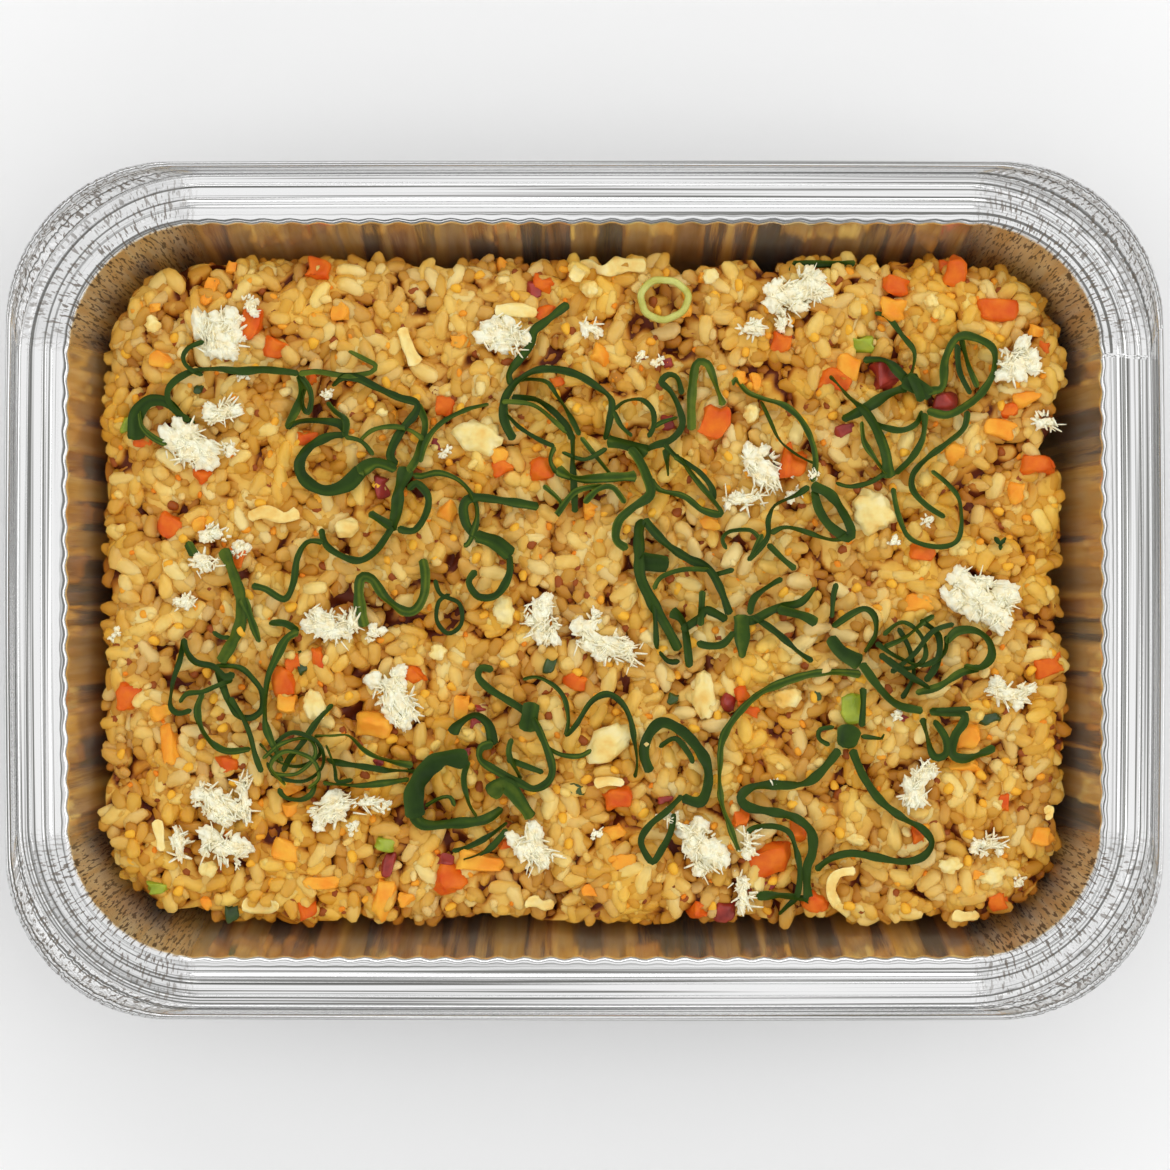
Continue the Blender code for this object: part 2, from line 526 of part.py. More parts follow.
def make_toppings(home, surface, meat, egg, leek):
    rule = random.Random(5)
    for number, place in enumerate(FLAKES, 1):
        make_lump(place, f"flake_{number:02d}", FLAKE_THICKNESS, meat, home, surface, rule)
    for number, place in enumerate(EGG_LUMPS, 1):
        make_lump(place, f"egg_lump_{number}", EGG_THICKNESS, egg, home, surface, rule)
    for number, shape in enumerate(EGG_STRIPS, 1):
        make_strip(shape, f"egg_strip_{number}", egg, home, surface, 1.4 * MM, 3 * MM)
    x, y = Vector(LEEK_PLACE) * MM
    level = resting_level(surface, x, y, LEEK_RADIUS + LEEK_WALL / 2) + LEEK_WALL / 2
    bpy.ops.mesh.primitive_torus_add(
        major_segments=16, minor_segments=5, major_radius=LEEK_RADIUS, minor_radius=LEEK_WALL / 2,
        location=(x, y, level),
    )  # fmt: skip
    ring = bpy.context.object
    ring.name = "leek_slice"
    ring.data.materials.append(leek)
    for old in list(ring.users_collection):
        old.objects.unlink(ring)
    home.objects.link(ring)


def clear_of_toppings(x, y, reach):
    """Whether nothing lies on the rice within reach of a place."""
    here = Vector((x, y)) * MM
    strips = [shape for shreds in SHREDS.values() for shape in shreds] + list(EGG_STRIPS)
    for start_width, end_width, *places in strips:
        room = reach + max(start_width, end_width) / 2 * MM
        if any((point - here).length < room for point in smooth_route(places, 2 * MM)):
            return False
    for place_x, place_y, half_length, half_width, turn in FLAKES + EGG_LUMPS:
        offset = here - Vector((place_x, place_y)) * MM
        angle = math.radians(turn)
        along = offset.x * math.cos(angle) + offset.y * math.sin(angle)
        across = -offset.x * math.sin(angle) + offset.y * math.cos(angle)
        inside = math.hypot(along / (half_length * MM + reach), across / (half_width * MM + reach))
        if inside < 1:
            return False
    return True


def add_cubes(rice, cooked):
    """The cubes that nothing lies on stand out of the rice, fused to it."""
    rule = random.Random(3)
    others = bpy.data.collections.new("cubes")
    bpy.context.scene.collection.children.link(others)
    for x, y, length, width, turn in CUBES:
        if not clear_of_toppings(x, y, 0.62 * max(length, width) * MM):
            continue
        size = Vector((length, width, min(length, width))) * MM
        bm = bmesh.new()
        bmesh.ops.create_cube(bm, size=1)
        bmesh.ops.scale(bm, vec=size, verts=bm.verts)
        cube = object_of(bm, "cube", cooked, others)
        cube.rotation_euler = (
            rule.uniform(-0.3, 0.3), rule.uniform(-0.3, 0.3), math.radians(turn)
        )  # fmt: skip
        level = heap(x * MM, y * MM) + CUBE_SHOWS - size.z / 2
        cube.location = (x * MM, y * MM, level)
    join(rice, others)


def main():
    clear_scene()
    home = bpy.data.collections.new("fried rice in a foil tray")
    bpy.context.scene.collection.children.link(home)
    foil = material("foil", (0.8, 0.8, 0.81), 0.25, 1.0)
    cooked = material("cooked rice", (0.72, 0.45, 0.14), 0.4)
    leaf = material("spring onion leaf", (0.03, 0.1, 0.03), 0.35)
    meat = material("white meat", (0.86, 0.8, 0.68), 0.6)
    egg = material("egg", (0.9, 0.68, 0.26), 0.45)
    leek = material("leek", (0.6, 0.62, 0.16), 0.4)
    make_tray(home, foil)
    rice = make_rice(home, cooked)
    add_cubes(rice, cooked)
    surface = BVHTree.FromPolygons(
        [vert.co for vert in rice.data.vertices],
        [face.vertices for face in rice.data.polygons],
    )
    make_curls(home, surface, leaf)
    make_toppings(home, surface, meat, egg, leek)


main()
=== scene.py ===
import math
import random

import bmesh
import bpy
import numpy as np
from mathutils import Euler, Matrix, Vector, noise


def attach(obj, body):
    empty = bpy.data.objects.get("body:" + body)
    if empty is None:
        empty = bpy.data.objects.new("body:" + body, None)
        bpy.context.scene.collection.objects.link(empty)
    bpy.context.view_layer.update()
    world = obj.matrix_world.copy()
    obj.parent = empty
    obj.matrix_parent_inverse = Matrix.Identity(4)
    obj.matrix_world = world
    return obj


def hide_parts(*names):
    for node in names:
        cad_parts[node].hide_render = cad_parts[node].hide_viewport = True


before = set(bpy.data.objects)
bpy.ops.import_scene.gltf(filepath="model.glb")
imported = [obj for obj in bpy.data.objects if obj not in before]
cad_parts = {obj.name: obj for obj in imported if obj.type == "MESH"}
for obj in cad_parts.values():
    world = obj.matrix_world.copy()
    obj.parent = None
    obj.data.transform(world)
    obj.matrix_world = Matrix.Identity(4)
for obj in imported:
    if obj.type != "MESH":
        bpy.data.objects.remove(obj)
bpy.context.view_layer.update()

MM = 0.001


# The tray is one sheet of thin aluminium foil, pressed in a tool. Its edge is rolled into a bead,
# the lip below it leans out, and the flat rim is stiffened by two shallow ribs. The drawn wall
# keeps upright flutes on its straight sides, and the metal that has no room left pleats at the corners.
TRAY_LENGTH = 308 * MM
TRAY_WIDTH = 228 * MM
OUTER_CORNER = 42.5 * MM
LIP_FOOT_CORNER = 48 * MM
WELL_CORNER = 35 * MM
WELL_INSET = 15.4 * MM
LIP_TOP = 49.9 * MM
LIP_HIGH = LIP_TOP - 1.2 * MM
LIP_START = 1.7 * MM
LIP_FOOT_INSET = 3.3 * MM
RIM_LEVEL = 46 * MM
WALL_TOP = 44 * MM
WALL_TOP_INSET = 16.6 * MM
WALL_DRAFT = math.radians(15)
CORNER_TAPER = 0.7
WALL_FOOT = 7 * MM
FOOT_REACH = 6.4 * MM
FOOT_DROP = 6.6 * MM
BASE_REACH = 70 * MM
FOIL = 0.16 * MM
FLUTE_PITCH = 7.2 * MM
FLUTE_DEPTH = 0.38 * MM
PLEAT_PITCH = 1.15 * MM
BEAD = 0.8 * MM
SIDE_STEPS = (150, 96)
CORNER_STEPS = 110
# Inset, rise of the ribs and depth of the corner crease, across the rim from the lip to the mouth
RIM_SECTION = (
    (3.9, 0, 0), (4.6, 0, 0), (5.1, 0, 0.1), (5.5, 0, 0.5), (5.8, 0.05, 0.85), (6.1, 0.36, 0.6),
    (6.5, 0.44, 0.15), (7.2, 0.38, 0), (8.2, 0.22, 0), (9.1, 0.05, 0), (9.5, 0.04, 0), (9.85, 0.2, 0),
    (10.3, 0.5, 0), (10.65, 0.64, 0), (11.2, 0.64, 0), (11.6, 0.48, 0), (12.05, 0.14, 0), (12.4, 0, 0),
    (13.2, 0, 0), (14, 0.05, 0), (14.7, 0.06, 0), (15.15, 0, 0),
)  # fmt: skip


def outline_ring(inset, corner):
    """Points round the outline at an inset, how far each is into a corner, and the way round."""
    half = np.array([TRAY_LENGTH / 2 - inset, TRAY_WIDTH / 2 - inset])
    signs = ((1, 1), (-1, 1), (-1, -1), (1, -1))
    points, corners, arcs = [], [], []
    travelled = 0.0
    for quarter, sign in enumerate(signs):
        centre = np.array(sign) * (half - corner)
        for step in range(CORNER_STEPS):
            share = step / CORNER_STEPS
            angle = (quarter + share) * math.pi / 2
            points.append(centre + corner * np.array([math.cos(angle), math.sin(angle)]))
            corners.append(min(1.0, min(share, 1 - share) * 7))
            arcs.append(travelled + share * WELL_CORNER * math.pi / 2)
        travelled += WELL_CORNER * math.pi / 2
        angle = (quarter + 1) * math.pi / 2
        out = corner * np.array([math.cos(angle), math.sin(angle)])
        start = centre + out
        end = np.array(signs[(quarter + 1) % 4]) * (half - corner) + out
        side = (TRAY_LENGTH, TRAY_WIDTH)[quarter % 2] - 2 * (WELL_INSET + WELL_CORNER)
        for step in range(SIDE_STEPS[quarter % 2]):
            share = step / SIDE_STEPS[quarter % 2]
            points.append(start + (end - start) * share)
            corners.append(0.0)
            arcs.append(travelled + side * share)
        travelled += side
    return np.array(points), np.array(corners), np.array(arcs)


def wall_inset(level):
    return WALL_TOP_INSET + (WALL_TOP - level) * math.tan(WALL_DRAFT)


def wall_corner(inset):
    return WELL_CORNER - CORNER_TAPER * (inset - WELL_INSET)


def foil_profile():
    """Inset, level, corner radius, flute, crinkle, rib and crease of each ring, from the bead in."""
    rings = []
    for degrees in (-75, -120, -165, 150, 105, 65, 25):
        turn = math.radians(degrees)
        level = LIP_TOP - BEAD + BEAD * math.sin(turn)
        rings.append((BEAD + BEAD * math.cos(turn), level, OUTER_CORNER, 0, 0.6, 0, 0))
    for share in (0.15, 0.4, 0.65, 0.85, 1.0):
        inset = LIP_START + share * (LIP_FOOT_INSET - LIP_START)
        level = LIP_HIGH - share * (LIP_HIGH - RIM_LEVEL - 0.25 * MM)
        rings.append((inset, level, OUTER_CORNER + (LIP_FOOT_CORNER - OUTER_CORNER) * share, 0, 0.8, 0, 0))
    for inset, rib, crease in RIM_SECTION:
        share = (inset * MM - LIP_FOOT_INSET) / (WELL_INSET - LIP_FOOT_INSET)
        corner = LIP_FOOT_CORNER + (WELL_CORNER - LIP_FOOT_CORNER) * share
        flute = max(0, (inset - 13) / 2.5) ** 2
        rings.append((inset * MM, RIM_LEVEL, corner, flute, 0.5 + 0.4 * share, rib * MM, crease * MM))
    for inset, drop in ((15.6, 0.1), (16.05, 0.4), (16.4, 1.0)):
        rings.append((inset * MM, RIM_LEVEL - drop * MM, WELL_CORNER, 1, 0.9, 0, 0))
    for share in np.linspace(0, 1, 8):
        level = WALL_TOP + (WALL_FOOT - WALL_TOP) * share
        inset = wall_inset(level)
        rings.append((inset, level, wall_corner(inset), 1 - 0.35 * share, 0.9 - 0.5 * share, 0, 0))
    foot_inset, foot_corner = inset, wall_corner(inset)
    for degrees in (20, 45, 68, 90):
        turn = math.radians(degrees)
        inset = foot_inset + FOOT_REACH * (1 - math.cos(turn))
        level = WALL_FOOT - FOOT_DROP * math.sin(turn)
        rings.append((inset, level, wall_corner(inset), 0.6 - degrees / 180, 0.25, 0, 0))
    for share in (0.15, 0.4, 0.7):
        corner = max(2 * MM, foot_corner - 6 * MM - share * 25 * MM)
        rings.append((inset + share * BASE_REACH, level, corner, 0, 0.1, 0, 0))
    return rings


def bridge(bm, near, far):
    """Joins two rings of points by a band of four-sided faces."""
    for i in range(len(near)):
        j = (i + 1) % len(near)
        bm.faces.new((near[i], near[j], far[j], far[i]))


def face_up(bm, index):
    """Turns a sheet's faces all one way, so that the face at this index looks up."""
    bmesh.ops.recalc_face_normals(bm, faces=bm.faces)
    bm.faces.ensure_lookup_table()
    if bm.faces[index].normal.z < 0:
        bmesh.ops.reverse_faces(bm, faces=bm.faces)


def linked(bm, name):
    """The finished mesh as an object of the scene."""
    mesh = bpy.data.meshes.new(name)
    bm.to_mesh(mesh)
    bm.free()
    mesh.shade_smooth()
    made = bpy.data.objects.new(name, mesh)
    bpy.context.scene.collection.objects.link(made)
    return made


def press_tray():
    """The sheet from bead to base, fluted on its sides and pleated at its corners."""
    bm = bmesh.new()
    into_corner = bm.verts.layers.float.new("corner")
    oiled = bm.verts.layers.float.new("film")
    way_round = bm.verts.layers.float_vector.new("way")
    loops = []
    for inset, level, corner, flute, crinkle, rib, crease in foil_profile():
        points, corners, arcs = outline_ring(inset, corner)
        inner, _, _ = outline_ring(inset + 1 * MM, corner)
        outward = points - inner
        outward /= np.linalg.norm(outward, axis=1)[:, None]
        on_wall = 1.0 if level < WALL_TOP + 1.2 * MM else 0.0
        loop = []
        for (x, y), (out_x, out_y), into, arc in zip(points, outward, corners, arcs):
            push = FLUTE_DEPTH * flute * (1 - into) * math.cos(2 * math.pi * arc / FLUTE_PITCH)
            wander = noise.noise(Vector((arc * 160, 0, 2))) * 2.2
            pleat = math.sin(2 * math.pi * (arc / PLEAT_PITCH + wander + 0.05 * level / MM * on_wall))
            rough = noise.noise(Vector((arc * 1300, inset * 420, level * 180)))
            broad = noise.noise(Vector((arc * 260, inset * 60, level * 40)))
            if on_wall:
                push += into * crinkle * (0.14 * pleat + 0.2 * rough + 0.15 * broad) * MM
                rise = 0.0
            else:
                near_mouth = max(0.0, (inset / MM - 7) / 8) if inset > 6 * MM else 0.5
                rise = into * crinkle * (0.16 * pleat * near_mouth + 0.22 * rough + 0.14 * broad) * MM
            if inset < LIP_FOOT_INSET:
                push -= into * abs(0.7 * rough) * MM
                rise -= into * crinkle * 0.2 * MM * abs(pleat)
            deep = 0.75 + 0.6 * noise.noise(Vector((arc * 300, 0, 6)))
            rise += rib * (1 - into) - crease * into * deep
            if 4 * MM < inset < 15 * MM:
                rise += 0.10 * MM * noise.noise(Vector((x * 28, y * 28, 3)))
            waist_x = 1 - 0.010 * (2 * y / TRAY_WIDTH) ** 2
            waist_y = 1 - 0.004 * (2 * x / TRAY_LENGTH) ** 2
            vert = bm.verts.new(((x + out_x * push) * waist_x, (y + out_y * push) * waist_y, level + rise))
            vert[into_corner] = into * min(1, crinkle)
            vert[oiled] = on_wall
            finer = 1 if inset > LIP_FOOT_INSET else 4
            vert[way_round] = (arc, inset * finer, level * finer)
            loop.append(vert)
        loops.append(loop)
    for upper, lower in zip(loops, loops[1:]):
        bridge(bm, upper, lower)
    bm.faces.new(loops[-1])
    face_up(bm, -1)
    return linked(bm, "foil_tray")


foil_tray = press_tray()
shell = foil_tray.modifiers.new("Foil", "SOLIDIFY")
shell.thickness = FOIL
shell.offset = -1
shell.material_offset = 1
shell.material_offset_rim = 1


def wired(tree, kind, inputs, **settings):
    """A new node with its settings, and its inputs set to values or joined to other nodes' outputs."""
    node = tree.nodes.new(kind)
    for label, value in settings.items():
        setattr(node, label, value)
    for label, value in inputs.items():
        socket = node.inputs[label]
        if isinstance(value, bpy.types.NodeSocket):
            tree.links.new(value, socket)
        elif socket.type == "RGBA":
            socket.default_value = (*value, 1)
        else:
            socket.default_value = value
    return node


def foil_material(name, oil):
    """Bright foil from the roll, with dark lines of painted reflection, duller at the corners and folded
    small there with painted shade in the folds, its wall under a film of golden oil whose gold and streaks
    are partly painted reflection.
    """
    foil = bpy.data.materials.new(name)
    foil.use_nodes = True
    tree = foil.node_tree

    def read(attribute):
        return wired(tree, "ShaderNodeAttribute", {}, attribute_name=attribute).outputs

    def spread_noise(scale, detail, source, stretch):
        shape = wired(tree, "ShaderNodeMapping", {"Vector": source, "Scale": stretch})
        pattern = {"Vector": shape.outputs[0], "Scale": scale, "Detail": detail}
        return wired(tree, "ShaderNodeTexNoise", pattern).outputs["Fac"]

    def ranged(value, start, end, low, high):
        limits = {"Value": value, "From Min": start, "From Max": end, "To Min": low, "To Max": high}
        return wired(tree, "ShaderNodeMapRange", limits).outputs["Result"]

    def product(first, second):
        return wired(tree, "ShaderNodeMath", {0: first, 1: second}, operation="MULTIPLY").outputs[0]

    def tinted(share, first, second):
        colours = {"Factor": share, "A": first, "B": second}
        return wired(tree, "ShaderNodeMix", colours, data_type="RGBA").outputs["Result"]

    def raised(height, strength, **below):
        relief = {"Height": height, "Strength": strength, "Distance": 0.5 * MM, **below}
        return wired(tree, "ShaderNodeBump", relief).outputs["Normal"]

    corner, way = read("corner")["Fac"], read("way")["Vector"]
    film = ranged(read("film")["Fac"], 0, 1, 0, oil)
    place = wired(tree, "ShaderNodeTexCoord", {}).outputs["Object"]
    # The corner folds are dark flecks painted into the colour: painted shade in the folds
    painted_fold_shade = ranged(spread_noise(1, 2, way, (1500, 330, 260)), 0.54, 0.60, 0, 1)
    streaks = spread_noise(1, 3, way, (420, 30, 40))
    # Lines along the rim, dark in the metal's colour: painted reflections of the dark room
    painted_reflection_lines = spread_noise(1, 2, way, (4, 1300, 300))
    specks = spread_noise(1500, 3, place, (1, 1, 1))
    foil_with_painted_lines = tinted(ranged(painted_reflection_lines, 0.50, 0.60, 0, 1), (0.84, 0.84, 0.84), (0.20, 0.20, 0.19))
    # The wall's film is golden partly as oil and partly as painted reflection of the rice; its light and
    # dark streaks are painted reflections
    oil_film_and_painted_reflection = tinted(ranged(streaks, 0.35, 0.65, 0, 1), (1.0, 0.97, 0.78), (0.90, 0.74, 0.42))
    foil_colour_with_painted_light = tinted(film, foil_with_painted_lines, oil_film_and_painted_reflection)
    finish = {
        "Base Color": tinted(product(painted_fold_shade, corner), foil_colour_with_painted_light, (0.16, 0.13, 0.10)),
        "Metallic": ranged(film, 0, 1, 1, 0.85),
        "Roughness": ranged(corner, 0, 1, 0.2, 0.45),
        "Normal": raised(product(streaks, film), 0.4, Normal=raised(product(specks, corner), 0.8)),
    }
    for label, value in finish.items():
        tree.links.new(value, tree.nodes["Principled BSDF"].inputs[label])
    return foil


foil_tray.data.materials.append(foil_material("oiled foil", 1))
foil_tray.data.materials.append(foil_material("bare foil", 0))
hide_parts("tray")
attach(foil_tray, "root")


# The bed is the rice that lies deep and packed, stained golden in patches and darkened into its crevices by
# painted shade, so only its hollows show between the loose grains. It fills the tray from the base and
# slumps away from the wall in uneven lobes.
RICE_GAP = 0.6 * MM
CONTACT_LEVEL = 25 * MM
SHOULDER_RISE = 9.5 * MM
SHOULDER_WIDTH = 12 * MM
CORNER_SLUMP = 2.5 * MM
MIDDLE_RISE = 3.0 * MM
LUMP_SIZE = 17 * MM
LUMP_HEIGHT = 1.3 * MM
HOLLOWS = (
    (-126, 60, 7, 5), (-126, 23, 7, 4), (-127, -37, 7, 5), (-118, -52, 5, 2), (-101, -88, 9, 5),
    (-7, -86, 6, 8), (20, -91, 8, 4), (49, -87, 8, 5), (120, -75, 8, 5), (127, 11, 8, 7), (133, 30, 6, 3),
    (118, 87, 9, 5), (25, 92, 7, 5), (-82, 91, 7, 3), (79, 55, 4, 3), (-50, 93, 8, 3), (-109, 72, 4, 3),
    (67, -26, 4, 3), (-33, -89, 9, 3), (45, 91, 7, 3),
)  # fmt: skip
EDGE_FALL = 7 * MM
EDGE_LEVEL = 15.3 * MM
EDGE_BACK = 4.8 * MM
LOBE_DEPTH = 4.6 * MM
LOBE_SIZE = 15 * MM
BAY_DEPTH = 11 * MM
BAY_SIZE = 11 * MM
CLUMP_SIZE = 9.5 * MM
CREVICE_DEPTH = 3.0 * MM
BED_SINK = 0.6 * MM
BED_FOOT_INSET = 6.6 * MM
COARSE_BUMP = 3.1 * MM
FINE_BUMP = 1.6 * MM
EDGE_ROOM = 3.4 * MM
# Width of the crevice share that darkens the rice as painted shade in the lows
LOW_SHADE_WIDTH = 0.5


def room_to_wall(x, y):
    """Distance in plan from the wall at the rice's edge, positive inside."""
    inset = wall_inset(CONTACT_LEVEL)
    corner = wall_corner(inset)
    out_x = abs(x) - (TRAY_LENGTH / 2 - inset - corner)
    out_y = abs(y) - (TRAY_WIDTH / 2 - inset - corner)
    beyond = Vector((max(out_x, 0), max(out_y, 0))).length
    return corner - beyond - min(max(out_x, out_y), 0)


def heap(x, y):
    """Height of the rice at a place, without its grains and its fallen edge."""
    along = min(abs(x) / (TRAY_LENGTH / 2), 1)
    across = min(abs(y) / (TRAY_WIDTH / 2), 1)
    width = SHOULDER_WIDTH * (1 + 0.9 * along**4 * across**4)
    edge = 1 - min(max(room_to_wall(x, y), 0) / width, 1)
    shoulder = SHOULDER_RISE * math.sqrt(1 - edge * edge)
    middle = MIDDLE_RISE * (1 - along**2) * (1 - across**2)
    lump = LUMP_HEIGHT * noise.noise(Vector((x, y, 0)) / LUMP_SIZE) * 2
    level = CONTACT_LEVEL + shoulder + middle + lump * (1 - edge)
    level -= CORNER_SLUMP * along**4 * across**4 * (1 - edge)
    for place_x, place_y, reach, depth in HOLLOWS:
        away = math.hypot(x - place_x * MM, y - place_y * MM) / (reach * MM)
        level -= depth * MM * math.exp(-away * away) * (1 - edge)
    return level


def rice_top(x, y):
    """The heap with its edge fallen back from the wall in lobes."""
    back = EDGE_BACK + LOBE_DEPTH * 2 * noise.noise(Vector((x, y, 40 * MM)) / LOBE_SIZE)
    share = min(max(room_to_wall(x, y) / max(back, 0.4 * MM) - 0.15, 0), 1)
    return heap(x, y) - EDGE_FALL * (1 - share * share * (3 - 2 * share))


def crevice(x, y, width=0.2):
    """How far a place lies into the crevices between clumps, from 0 at their edge to 1."""
    crack = 1 - abs(noise.noise(Vector((x, y, 70 * MM)) / CLUMP_SIZE)) / width
    open_here = 1.6 * noise.noise(Vector((x, y, 20 * MM)) / (0.55 * CLUMP_SIZE)) + 0.75
    return min(max(crack, 0), 1) * min(max(open_here, 0), 1)


def clumped_top(x, y):
    """The fallen heap, split by crevices into clumps of grains that stuck together."""
    swell = 1.3 * MM * noise.noise(Vector((x, y, 90 * MM)) / CLUMP_SIZE)
    return rice_top(x, y) + swell - CREVICE_DEPTH * crevice(x, y)


def bay(x, y):
    """How far the edge of the rice lies back from the wall near a place."""
    return BAY_DEPTH * max(0, noise.noise(Vector((x, y, 130 * MM)) / BAY_SIZE))


def moved_in(x, y, room):
    """The place, drawn towards the middle until it has this much room from the edge of the rice."""
    while room_to_wall(x, y) < EDGE_ROOM + bay(x, y) + room:
        x, y = 0.998 * x, 0.998 * y
    return x, y


def onto_outline(u, v, inset, corner):
    """Moves a point of the square from -1 to 1 into the tray's outline, its edge onto the outline's."""
    half_x = TRAY_LENGTH / 2 - inset
    half_y = TRAY_WIDTH / 2 - inset
    reach = max(abs(u), abs(v))
    if reach == 0:
        return 0.0, 0.0
    edge_x = half_x * abs(u) / reach
    edge_y = half_y * abs(v) / reach
    out = Vector((edge_x - half_x + corner, edge_y - half_y + corner))
    if min(out) > 0:
        out = out.normalized() * corner
        edge_x = half_x - corner + out.x
        edge_y = half_y - corner + out.y
    near_edge = reach**3
    x = half_x * abs(u) * (1 - near_edge) + edge_x * reach * near_edge
    y = half_y * abs(v) * (1 - near_edge) + edge_y * reach * near_edge
    return math.copysign(x, u), math.copysign(y, v)


def rice_surface(along, across, inset_more, sink, rough):
    """A sheet over the clumped heap, in from the wall by inset_more and lower by sink."""
    bm = bmesh.new()
    bmesh.ops.create_grid(bm, x_segments=along, y_segments=across, size=1)
    inset = wall_inset(EDGE_LEVEL) + RICE_GAP + inset_more
    packed = bm.verts.layers.float.new("packed")
    painted_low_shade = bm.verts.layers.float.new("painted_low_shade")
    for vert in bm.verts:
        x, y = onto_outline(vert.co.x, vert.co.y, inset, wall_corner(inset))
        drawn_back = bay(x, y) * max(abs(vert.co.x), abs(vert.co.y)) ** 8
        x, y = Vector((x, y)) * (1 - drawn_back / math.hypot(x, y))
        bumps = noise.noise(Vector((x, y, 0)) / COARSE_BUMP)
        bumps += 0.5 * noise.noise(Vector((x, y, 9)) / FINE_BUMP)
        vert.co = (x, y, clumped_top(x, y) - sink + rough * bumps)
        # packed is low in the crevices, where the bed is coloured dark as painted shade
        vert[packed] = 1 - min(1, 2.2 * crevice(x, y))
        # The wider crevice share darkens the rice towards the crevices as painted shade in the lows
        vert[painted_low_shade] = crevice(x, y, LOW_SHADE_WIDTH)
    face_up(bm, 0)
    return bm


def close_below(bm):
    """Carries the sheet's edge down the inside of the wall and shuts it on the base."""
    edges = [edge for edge in bm.edges if edge.is_boundary]
    top_inset = wall_inset(EDGE_LEVEL)
    for level, inset in (
        (WALL_FOOT + 0.4 * MM, wall_inset(WALL_FOOT) - top_inset),
        (1.1 * MM, BED_FOOT_INSET),
    ):
        made = bmesh.ops.extrude_edge_only(bm, edges=edges)["geom"]
        edges = [item for item in made if isinstance(item, bmesh.types.BMEdge)]
        for vert in (item for item in made if isinstance(item, bmesh.types.BMVert)):
            shrink = 1 - inset / Vector((vert.co.x, vert.co.y)).length
            vert.co = (vert.co.x * shrink, vert.co.y * shrink, level)
    bmesh.ops.contextual_create(bm, geom=[edge for edge in bm.edges if edge.is_boundary])
    bmesh.ops.recalc_face_normals(bm, faces=bm.faces)


bm = rice_surface(330, 230, 0, BED_SINK, 0.9 * MM)
close_below(bm)
rice_bed = linked(bm, "rice_bed")


GOLDEN_STAIN = (1.0, 0.88, 0.48)
# Colour multiplied into the rice near the crevices: painted shade in the lows
LOW_SHADE_COLOUR = (0.60, 0.36, 0.16)


def food_material(
    name, colours, roughness, scale, subsurface=0.0, bump_distance=0.0, attribute=None, spread=1.0,
    shine=0.5, drift=None, glow=(1.0, 0.8, 0.5), depth=1.8 * MM,
):
    """A moist surface whose colour runs through a ramp, by its own noise and a tint held on each piece."""
    made = bpy.data.materials.new(name)
    made.use_nodes = True
    tree = made.node_tree
    shader = tree.nodes["Principled BSDF"].inputs
    shader["Roughness"].default_value = roughness
    shader["Specular IOR Level"].default_value = shine
    if subsurface:
        tree.nodes["Principled BSDF"].subsurface_method = "BURLEY"
        shader["Subsurface Weight"].default_value = subsurface
        shader["Subsurface Radius"].default_value = glow
        shader["Subsurface Scale"].default_value = depth
    place = wired(tree, "ShaderNodeTexCoord", {}).outputs["Object"]
    value = wired(tree, "ShaderNodeTexNoise", {"Vector": place, "Scale": scale, "Detail": 3}).outputs["Fac"]
    if attribute:
        tint = wired(tree, "ShaderNodeAttribute", {}, attribute_name=attribute).outputs["Fac"]
        blend = wired(tree, "ShaderNodeMix", {"Factor": spread, "A": value, "B": tint}, data_type="FLOAT")
        value = blend.outputs["Result"]
    ramp = wired(tree, "ShaderNodeValToRGB", {"Fac": value})
    for index, (position, colour) in enumerate(colours):
        stop = ramp.color_ramp.elements[index] if index < 2 else ramp.color_ramp.elements.new(position)
        stop.position = position
        stop.color = (*colour, 1)
    colour = ramp.outputs["Color"]
    if drift:
        wide = wired(tree, "ShaderNodeTexNoise", {"Vector": place, "Scale": 38, "Detail": 2}).outputs["Fac"]
        patches = wired(tree, "ShaderNodeMapRange", {"Value": wide, "From Min": 0.38, "From Max": 0.62})
        # The golden patches are stains the rice has; the second multiply, by the crevice share, is painted
        # shade in the lows
        low = wired(tree, "ShaderNodeAttribute", {}, attribute_name="painted_low_shade")
        for share, stain_and_shade in ((patches.outputs["Result"], drift), (low.outputs["Fac"], LOW_SHADE_COLOUR)):
            stain_and_shade_mix = {"Factor": share, "A": colour, "B": stain_and_shade}
            mixed = wired(tree, "ShaderNodeMix", stain_and_shade_mix, data_type="RGBA", blend_type="MULTIPLY")
            colour = mixed.outputs["Result"]
    tree.links.new(colour, shader["Base Color"])
    if bump_distance:
        fine = wired(tree, "ShaderNodeTexNoise", {"Vector": place, "Scale": scale * 3}).outputs["Fac"]
        relief = wired(tree, "ShaderNodeBump", {"Strength": 0.6, "Distance": bump_distance, "Height": fine})
        tree.links.new(relief.outputs["Normal"], shader["Normal"])
    return made


# The bed's colour runs with packed: golden on the clumps, dark red-brown in the crevices as painted shade
deep_rice = food_material(
    "deep rice",
    ((0.25, (0.14, 0.028, 0.005)), (0.85, (0.84, 0.54, 0.13)), (0.6, (0.60, 0.27, 0.03))),
    0.5, 230, bump_distance=0.4 * MM, attribute="packed", spread=0.7, shine=0.2, drift=GOLDEN_STAIN,
)  # fmt: skip
rice_bed.data.materials.append(deep_rice)
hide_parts("rice")
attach(rice_bed, "root")


# The loose grains are short plump rice, cooked, then fried in oil and soy sauce until golden. They lie
# every way up and cling in clumps, about seven millimetres long and four thick.
GRAIN_DENT = 0.5 * MM
GRAIN_DENT_SIZE = 3.2 * MM
WALL_ROOM = 0.3 * MM
MOST_TO_A_METRE = 400000
# Without a seed of its own, the noise that dents the pieces takes one from the clock
noise.seed_set(5)


